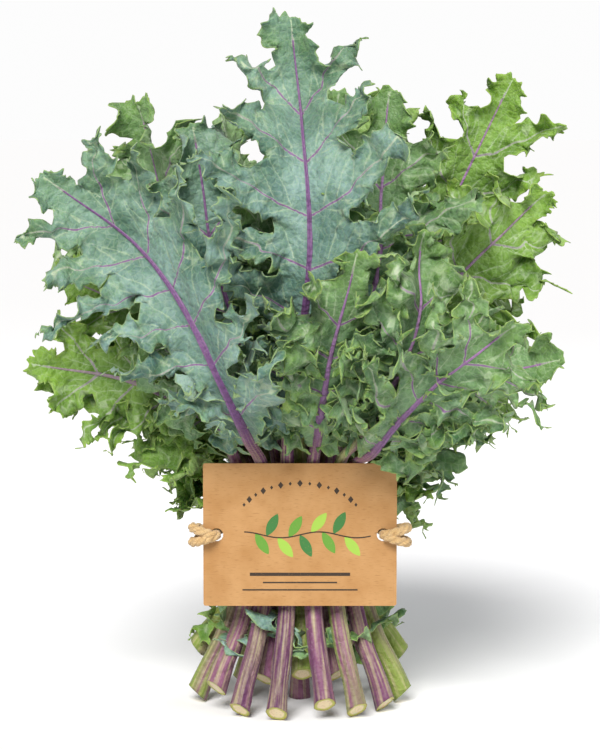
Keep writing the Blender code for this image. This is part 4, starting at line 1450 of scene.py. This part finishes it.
@dataclass
class Card:
    """The kraft label card, with a generic print of leaves, diamonds and rules.

    wave is the height and the length of the printed stalk's waves. arch is the width, height and foot of
    the row of diamonds. Each rule has its half length, its height on the card and its half thickness.
    """

    front_y: float = -45.8
    middle_z: float = 100.0
    ink_rise: float = 0.06
    leaf_length: float = 13.5
    leaf_lean: float = 58.0
    wave: tuple[float, float] = (1.6, 6.5)
    arch: tuple[float, float, float] = (34.0, 22.0, 6.0)
    rules: tuple[tuple[float, float, float], ...] = ((27.0, -21.5, 0.9), (20.0, -26.0, 0.4), (31.0, -30.0, 0.4))
    greens: tuple[str, ...] = ("green", "deep_green", "light_green")
    inks: dict[str, str] = field(default_factory=lambda: {
        "green": "5c8f2f", "deep_green": "356f33", "light_green": "93b844", "brown": "33261a"})

    def stamp(self, name: str, outline: np.ndarray, ink: bpy.types.Material) -> None:
        """Prints one flat shape, as a thin plate on the card's front.

        Args:
            name: The piece's name.
            outline: Its corners across and up from the card's middle.
            ink: Its finish.
        """
        count = len(outline)
        front = np.column_stack([outline[:, 0], np.full(count, self.front_y - self.ink_rise),
                                 self.middle_z + outline[:, 1]])
        back = front + (0.0, self.ink_rise + 0.02, 0.0)
        faces = [tuple(range(count)), tuple(range(2 * count - 1, count - 1, -1))]
        faces += [(k, k + count, (k + 1) % count + count, (k + 1) % count) for k in range(count)]
        thing = mesh_object(name, np.vstack([front, back]), faces, {}, [ink], smooth=False)
        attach(thing, "root")

    def drawing(self) -> list[tuple[str, np.ndarray, str]]:
        """Lays out the print.

        Returns:
            For each shape its name, its corners and its ink.
        """
        shapes = []
        height, length = self.wave
        t = np.linspace(0.0, 1.0, 15)
        edge = 0.2 * np.sin(np.pi * t) ** 0.8
        almond = np.concatenate([np.stack([t, edge], -1), np.stack([t, -edge], -1)[::-1][1:-1]])
        for k, x in enumerate(np.linspace(-24.0, 24.0, 9)):
            angle = math.radians(self.leaf_lean if k % 2 else -self.leaf_lean) + math.radians(6.0 * math.sin(k))
            turn = np.array([[math.cos(angle), math.sin(angle)], [-math.sin(angle), math.cos(angle)]])
            base = np.array([x, height * math.sin(x / length)])
            shapes.append((f"print_leaf_{k}", (almond * self.leaf_length) @ turn + base, self.greens[k % 3]))
        x = np.linspace(-30.0, 38.0, 60)
        wave = height * np.sin(x / length)
        stalk = np.concatenate([np.stack([x, wave + 0.35], -1), np.stack([x, wave - 0.35], -1)[::-1]])
        shapes.append(("print_stalk", stalk, "brown"))
        wide, high, foot = self.arch
        corners = np.array([(1, 0), (0, 1.3), (-1, 0), (0, -1.3)])
        for k, angle in enumerate(np.radians(np.linspace(28.0, 152.0, 15))):
            middle = np.array([wide * math.cos(angle), foot + high * math.sin(angle)])
            size = 1.5 if k % 2 else 0.85
            shapes.append((f"print_diamond_{k}", middle + size * corners, "brown"))
        for k, (half, z, thick) in enumerate(self.rules):
            bar = np.array([(-half, z - thick), (half, z - thick), (half, z + thick), (-half, z + thick)])
            shapes.append((f"print_rule_{k}", bar, "brown"))
        return shapes

    def build(self, solid: bpy.types.Object) -> int:
        """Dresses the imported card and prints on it.

        Args:
            solid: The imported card.

        Returns:
            How many printed pieces were made.
        """
        solid.data.materials.clear()
        solid.data.materials.append(KraftBoard().build())
        inks = {name: PrintInk(colour).build(name) for name, colour in self.inks.items()}
        drawing = self.drawing()
        for name, outline, ink in drawing:
            self.stamp(name, outline, inks[ink])
        return len(drawing)


@dataclass
class Twine:
    """The jute twine: its run round the back, the loops through the card, and the knot.

    lay is how thick a strand is and how far its middle is from the twine's, as shares of the radius, and
    ring how many sides it has. fuzz is the number of loose fibres, and fuzz_length how long they are.
    """

    radius: float = 2.7
    gap: float = 3.1
    spacing: float = 4.6
    loop_x: float = 6.9
    loop_y: float = 5.0
    loop_tilt: float = 17.0
    hole_x: float = 104.0 / 2.0 - 7.2
    card_y: float = -45.4
    height: float = 100.0
    outer_ring: float = 27.0
    stem_radius: float = 4.75
    strands: int = 3
    pitch: float = 13.0
    lay: tuple[float, float] = (0.54, 0.47)
    ring: int = 8
    fuzz: int = 1500
    fuzz_length: tuple[float, float] = (1.0, 3.4)

    def strand_tubes(
        self, path: np.ndarray, up: np.ndarray, closed: bool
    ) -> tuple[np.ndarray, list[tuple[int, ...]], np.ndarray]:
        """Twists strands round a path.

        Args:
            path: The points that the twine follows.
            up: A direction that is never along it.
            closed: Whether the path comes back to its start.

        Returns:
            The points, faces and grain of all the strands.
        """
        if closed:
            path = np.vstack([path, path[:1]])
        steps = np.linalg.norm(np.diff(path, axis=0), axis=1)
        arc = np.concatenate([[0.0], np.cumsum(steps)])
        count = max(int(arc[-1] / 1.1), 8)
        even = np.linspace(0.0, arc[-1], count)
        line = np.stack([np.interp(even, arc, path[:, k]) for k in range(3)], -1)
        for _ in range(3):
            line[1:-1] = 0.5 * line[1:-1] + 0.25 * (line[:-2] + line[2:])
        slope = unit(np.gradient(line, axis=0))
        side = unit(np.cross(slope, up))
        high = np.cross(side, slope)
        turns = max(round(arc[-1] / self.pitch), 1) if closed else arc[-1] / self.pitch
        points, faces, grain = [], [], []
        ring, small, offset = self.ring, self.radius * self.lay[0], self.radius * self.lay[1]
        for s in range(self.strands):
            phase = 2.0 * np.pi * (s / self.strands + turns * even / arc[-1])
            centre = line + offset * (side * np.cos(phase)[:, None] + high * np.sin(phase)[:, None])
            around_it = 2.0 * np.pi * np.arange(ring) / ring
            own_slope = unit(np.gradient(centre, axis=0))
            own_side = unit(np.cross(own_slope, up))
            own_high = np.cross(own_side, own_slope)
            lump = 1.0 + 0.05 * np.sin(even * 1.9 + s)
            rings = centre[:, None] + small * lump[:, None, None] * (
                own_side[:, None] * np.cos(around_it)[None, :, None]
                + own_high[:, None] * np.sin(around_it)[None, :, None]
            )
            base = sum(len(p) for p in points)
            points.append(rings.reshape(-1, 3))
            twist = around_it[None, :] + even[:, None] * 0.9
            grain.append(np.stack([np.cos(twist) * 2.0, np.sin(twist) * 2.0,
                                   np.repeat(even[:, None] * 0.12 + 7.0 * s, ring, axis=1)], -1).reshape(-1, 3))
            for low in range(base, base + (count - 1) * ring, ring):
                for k in range(ring):
                    j = (k + 1) % ring
                    faces.append((low + k, low + j, low + ring + j, low + ring + k))
            faces.append(tuple(base + k for k in range(ring - 1, -1, -1)))
            faces.append(tuple(base + (count - 1) * ring + k for k in range(ring)))
        return np.vstack(points), faces, np.vstack(grain)

    def paths(self) -> list[tuple[np.ndarray, np.ndarray, bool]]:
        """Lays out every stretch of twine.

        Returns:
            For each stretch its path, a direction across it, and whether it closes.
        """
        radius = self.outer_ring + self.stem_radius + self.gap + self.radius
        start = np.array((self.hole_x + self.loop_x, self.card_y + self.loop_y))
        leaves_at = np.arctan2(start[1], start[0]) + np.arccos(radius / np.linalg.norm(start))
        turns = np.linspace(leaves_at, np.pi - leaves_at, 40)
        arc = radius * np.stack([np.cos(turns), np.sin(turns)], axis=1)
        flat = np.vstack([start, (start + arc[0]) / 2.0, arc, (start * (-1, 1) + arc[-1]) / 2.0, start * (-1, 1)])
        runs = []
        for level in (-0.5, 0.5):
            height = np.full(len(flat), self.height + level * self.spacing)
            runs.append((np.column_stack([flat, height]), np.array((0.0, 0.0, 1.0)), False))
        turns = np.linspace(0.0, 2.0 * np.pi, 36, endpoint=False)[:, None]
        for side in (-1, 1):
            hole = np.array((side * self.hole_x, self.card_y, self.height))
            for tilt in np.radians((-self.loop_tilt, self.loop_tilt)):
                out = np.array((side * np.cos(tilt), 0.0, np.sin(tilt)))
                ring = hole + out * self.loop_x * (1.0 - np.cos(turns))
                ring = ring + (0.0, self.loop_y, 0.0) * np.sin(turns)
                runs.append((ring, np.cross(out, (0.0, 1.0, 0.0)), True))
        knot = np.array((0.0, radius + 2.2, self.height))
        drop = np.linspace(0.0, 1.0, 12)[:, None]
        for side in (-1, 1):
            tail = knot + (side * 3.0, 1.0, 0.0) + drop * (side * 5.0, 6.0, -24.0)
            runs.append((tail + drop**2 * (side * 3.0, 1.0, 0.0), np.array((0.0, 1.0, 0.0)), False))
        turns = np.linspace(0.0, 2.0 * np.pi, 30, endpoint=False)[:, None]
        for shift, lean in ((-2.6, 0.5), (2.6, -0.5)):
            wrap = knot + (shift, 0.0, 0.0) + np.cos(turns) * (lean * 3.0, 0.0, 4.4) + np.sin(turns) * (0.0, 3.0, 0.0)
            runs.append((wrap, np.array((1.0, 0.0, 0.0)), True))
        return runs

    def build(self) -> int:
        """Makes the twine and its loose fibres.

        Returns:
            How many faces it has.
        """
        points, faces, grain = [], [], []
        draw = np.random.default_rng(77)
        for path, up, closed in self.paths():
            some, its_faces, its_grain = self.strand_tubes(path, up, closed)
            base = sum(len(p) for p in points)
            points.append(some)
            grain.append(its_grain)
            faces += [tuple(v + base for v in f) for f in its_faces]
        skin = np.vstack(points)
        base = len(skin)
        hairs, hair_faces, hair_grain = [], [], []
        for spot in skin[draw.integers(0, len(skin), self.fuzz)]:
            way = unit(draw.normal(size=3))
            bend = unit(draw.normal(size=3)) * 0.9
            length = draw.uniform(*self.fuzz_length)
            side = unit(np.cross(way, bend)) * 0.05
            line = [spot + way * length * t + bend * t * t - way * 0.3 for t in (0.0, 0.5, 1.0)]
            at = base + len(hairs)
            for k, place in enumerate(line):
                thin = side * (1.0 - 0.4 * k)
                hairs += [place + thin, place - thin + np.cross(thin, way), place - thin - np.cross(thin, way)]
            for k in (0, 3):
                for j in range(3):
                    n = (j + 1) % 3
                    hair_faces.append((at + k + j, at + k + n, at + k + 3 + n, at + k + 3 + j))
            hair_faces += [(at + 2, at + 1, at), (at + 6, at + 7, at + 8)]
            hair_grain += [spot] * 9
        fibres = {"grain": np.vstack([*grain, np.array(hair_grain)])}
        thing = mesh_object("twine_spun", np.vstack([skin, np.array(hairs)]), faces + hair_faces, fibres,
                            [Jute().build()])
        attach(thing, "root")
        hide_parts("twine")
        return len(thing.data.polygons)


@dataclass
class Studio:
    """A wide floor of white paper, a broad sun with two weak lamps, and the camera.

    half_width is in metres, so that the floor runs on past what any view shows. backdrop is how bright the
    air looks behind it, and air_strength how strongly the air lights things. The lamps have a place, a
    side length in metres, a power in watts and a colour.
    """

    camera_distance: float = 1.30
    elevation: float = 6.0
    aim: tuple[float, float, float] = (0.0, 0.0, 0.1818)
    lens: float = 113.0
    half_width: float = 60.0
    sun_from: tuple[float, float, float] = (-0.3, -1.3, 1.2)
    sun_colour: str = "fffdfa"
    sun_strength: float = 4.0
    sun_angle: float = 30.0
    air_strength: float = 0.19
    backdrop: float = 0.98
    lamp_aim: tuple[float, float, float] = (0.0, 0.0, 0.22)
    lamps: dict[str, tuple[tuple[float, float, float], float, float, str]] = field(default_factory=lambda: {
        "fill": ((1.2, -1.1, 0.8), 0.7, 6.0, "f6faff"),
        "back": ((0.7, 0.9, 1.2), 0.8, 7.0, "ffffff"),
    })

    @staticmethod
    def hang(name: str, data: bpy.types.ID, place: Vector, way: Vector) -> None:
        """Puts a light or a camera in the studio.

        Args:
            name: What it is called.
            data: The light or camera.
            place: Where it is.
            way: The direction in which it points.
        """
        thing = bpy.data.objects.new(name, data)
        thing.location = place
        thing.rotation_mode = "QUATERNION"
        thing.rotation_quaternion = way.to_track_quat("-Z", "Y")
        bpy.context.scene.collection.objects.link(thing)

    def floor(self) -> None:
        """Builds the floor."""
        corners = [(x, y, 0.0) for x, y in ((-1.0, -1.0), (1.0, -1.0), (1.0, 1.0), (-1.0, 1.0))]
        points = np.array(corners) * self.half_width / MM
        mesh_object("studio_floor", points, [(0, 1, 2, 3)], {}, [StudioPaper().build()])

    def lights(self) -> None:
        """Hangs the sun, which is as strong all over the floor, and the two square lamps."""
        sun = bpy.data.lights.new("key", "SUN")
        sun.energy, sun.angle, sun.color = self.sun_strength, math.radians(self.sun_angle), linear(self.sun_colour)[:3]
        self.hang("key", sun, Vector(self.sun_from), -Vector(self.sun_from))
        for name, (place, size, power, colour) in self.lamps.items():
            light = bpy.data.lights.new(name, "AREA")
            light.size, light.energy, light.color = size, power, linear(colour)[:3]
            self.hang(name, light, Vector(place), Vector(self.lamp_aim) - Vector(place))

    def air(self) -> None:
        """Fills the studio with weak light, and shows white where no floor is."""
        world = bpy.data.worlds.new("studio_air")
        world.use_nodes = True
        add = partial(add_node, world.node_tree)
        background = world.node_tree.nodes["Background"]
        background.inputs["Color"].default_value = linear("ffffff")
        strength = add("range", add("camera_ray"), 0.0, 1.0, self.air_strength, self.backdrop)
        world.node_tree.links.new(strength, background.inputs["Strength"])
        bpy.context.scene.world = world

    def build(self) -> None:
        """Sets up the whole studio."""
        self.floor()
        self.lights()
        self.air()
        bpy.context.scene.view_settings.view_transform = "Standard"
        camera = bpy.data.cameras.new("camera")
        camera.lens, camera.clip_start = self.lens, 0.05
        angle = math.radians(self.elevation)
        back = Vector((0.0, -math.cos(angle), math.sin(angle)))
        self.hang("camera", camera, Vector(self.aim) + back * self.camera_distance, -back)
        bpy.context.scene.camera = bpy.data.objects["camera"]


SKINS = {
    Tone.GLAUCOUS: KaleSkin("45685d", "819f97", "6c8f50", "869f92"),
    Tone.MIDDLE: KaleSkin("3b6039", "799a71", "789d3a", "86a174"),
    Tone.YOUNG: KaleSkin("476d20", "7da04e", "8bb038", "8fab66"),
}


def main() -> None:
    """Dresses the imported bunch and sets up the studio."""
    logging.basicConfig(level=logging.INFO, format="%(message)s")
    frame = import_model()
    cut = CutStem().build()
    skins = {tone: skin.build("kale_skin_" + tone.name.lower()) for tone, skin in SKINS.items()}
    sheaf, form = Sheaf(), BladeForm()
    total = 0
    for plan in LEAVES:
        leaf = Leaf(plan, sheaf, form, frame["nodes"][plan.name]).build(skins[plan.tone], cut)
        total += len(leaf.data.polygons)
        LOG.info("%s: %d faces", leaf.name, len(leaf.data.polygons))
    LOG.info("all leaves: %d faces", total)
    LOG.info("card: %d printed pieces", Card().build(frame["nodes"]["label_card"]))
    LOG.info("twine: %d faces", Twine().build())
    Studio().build()


if __name__ == "__main__":
    main()
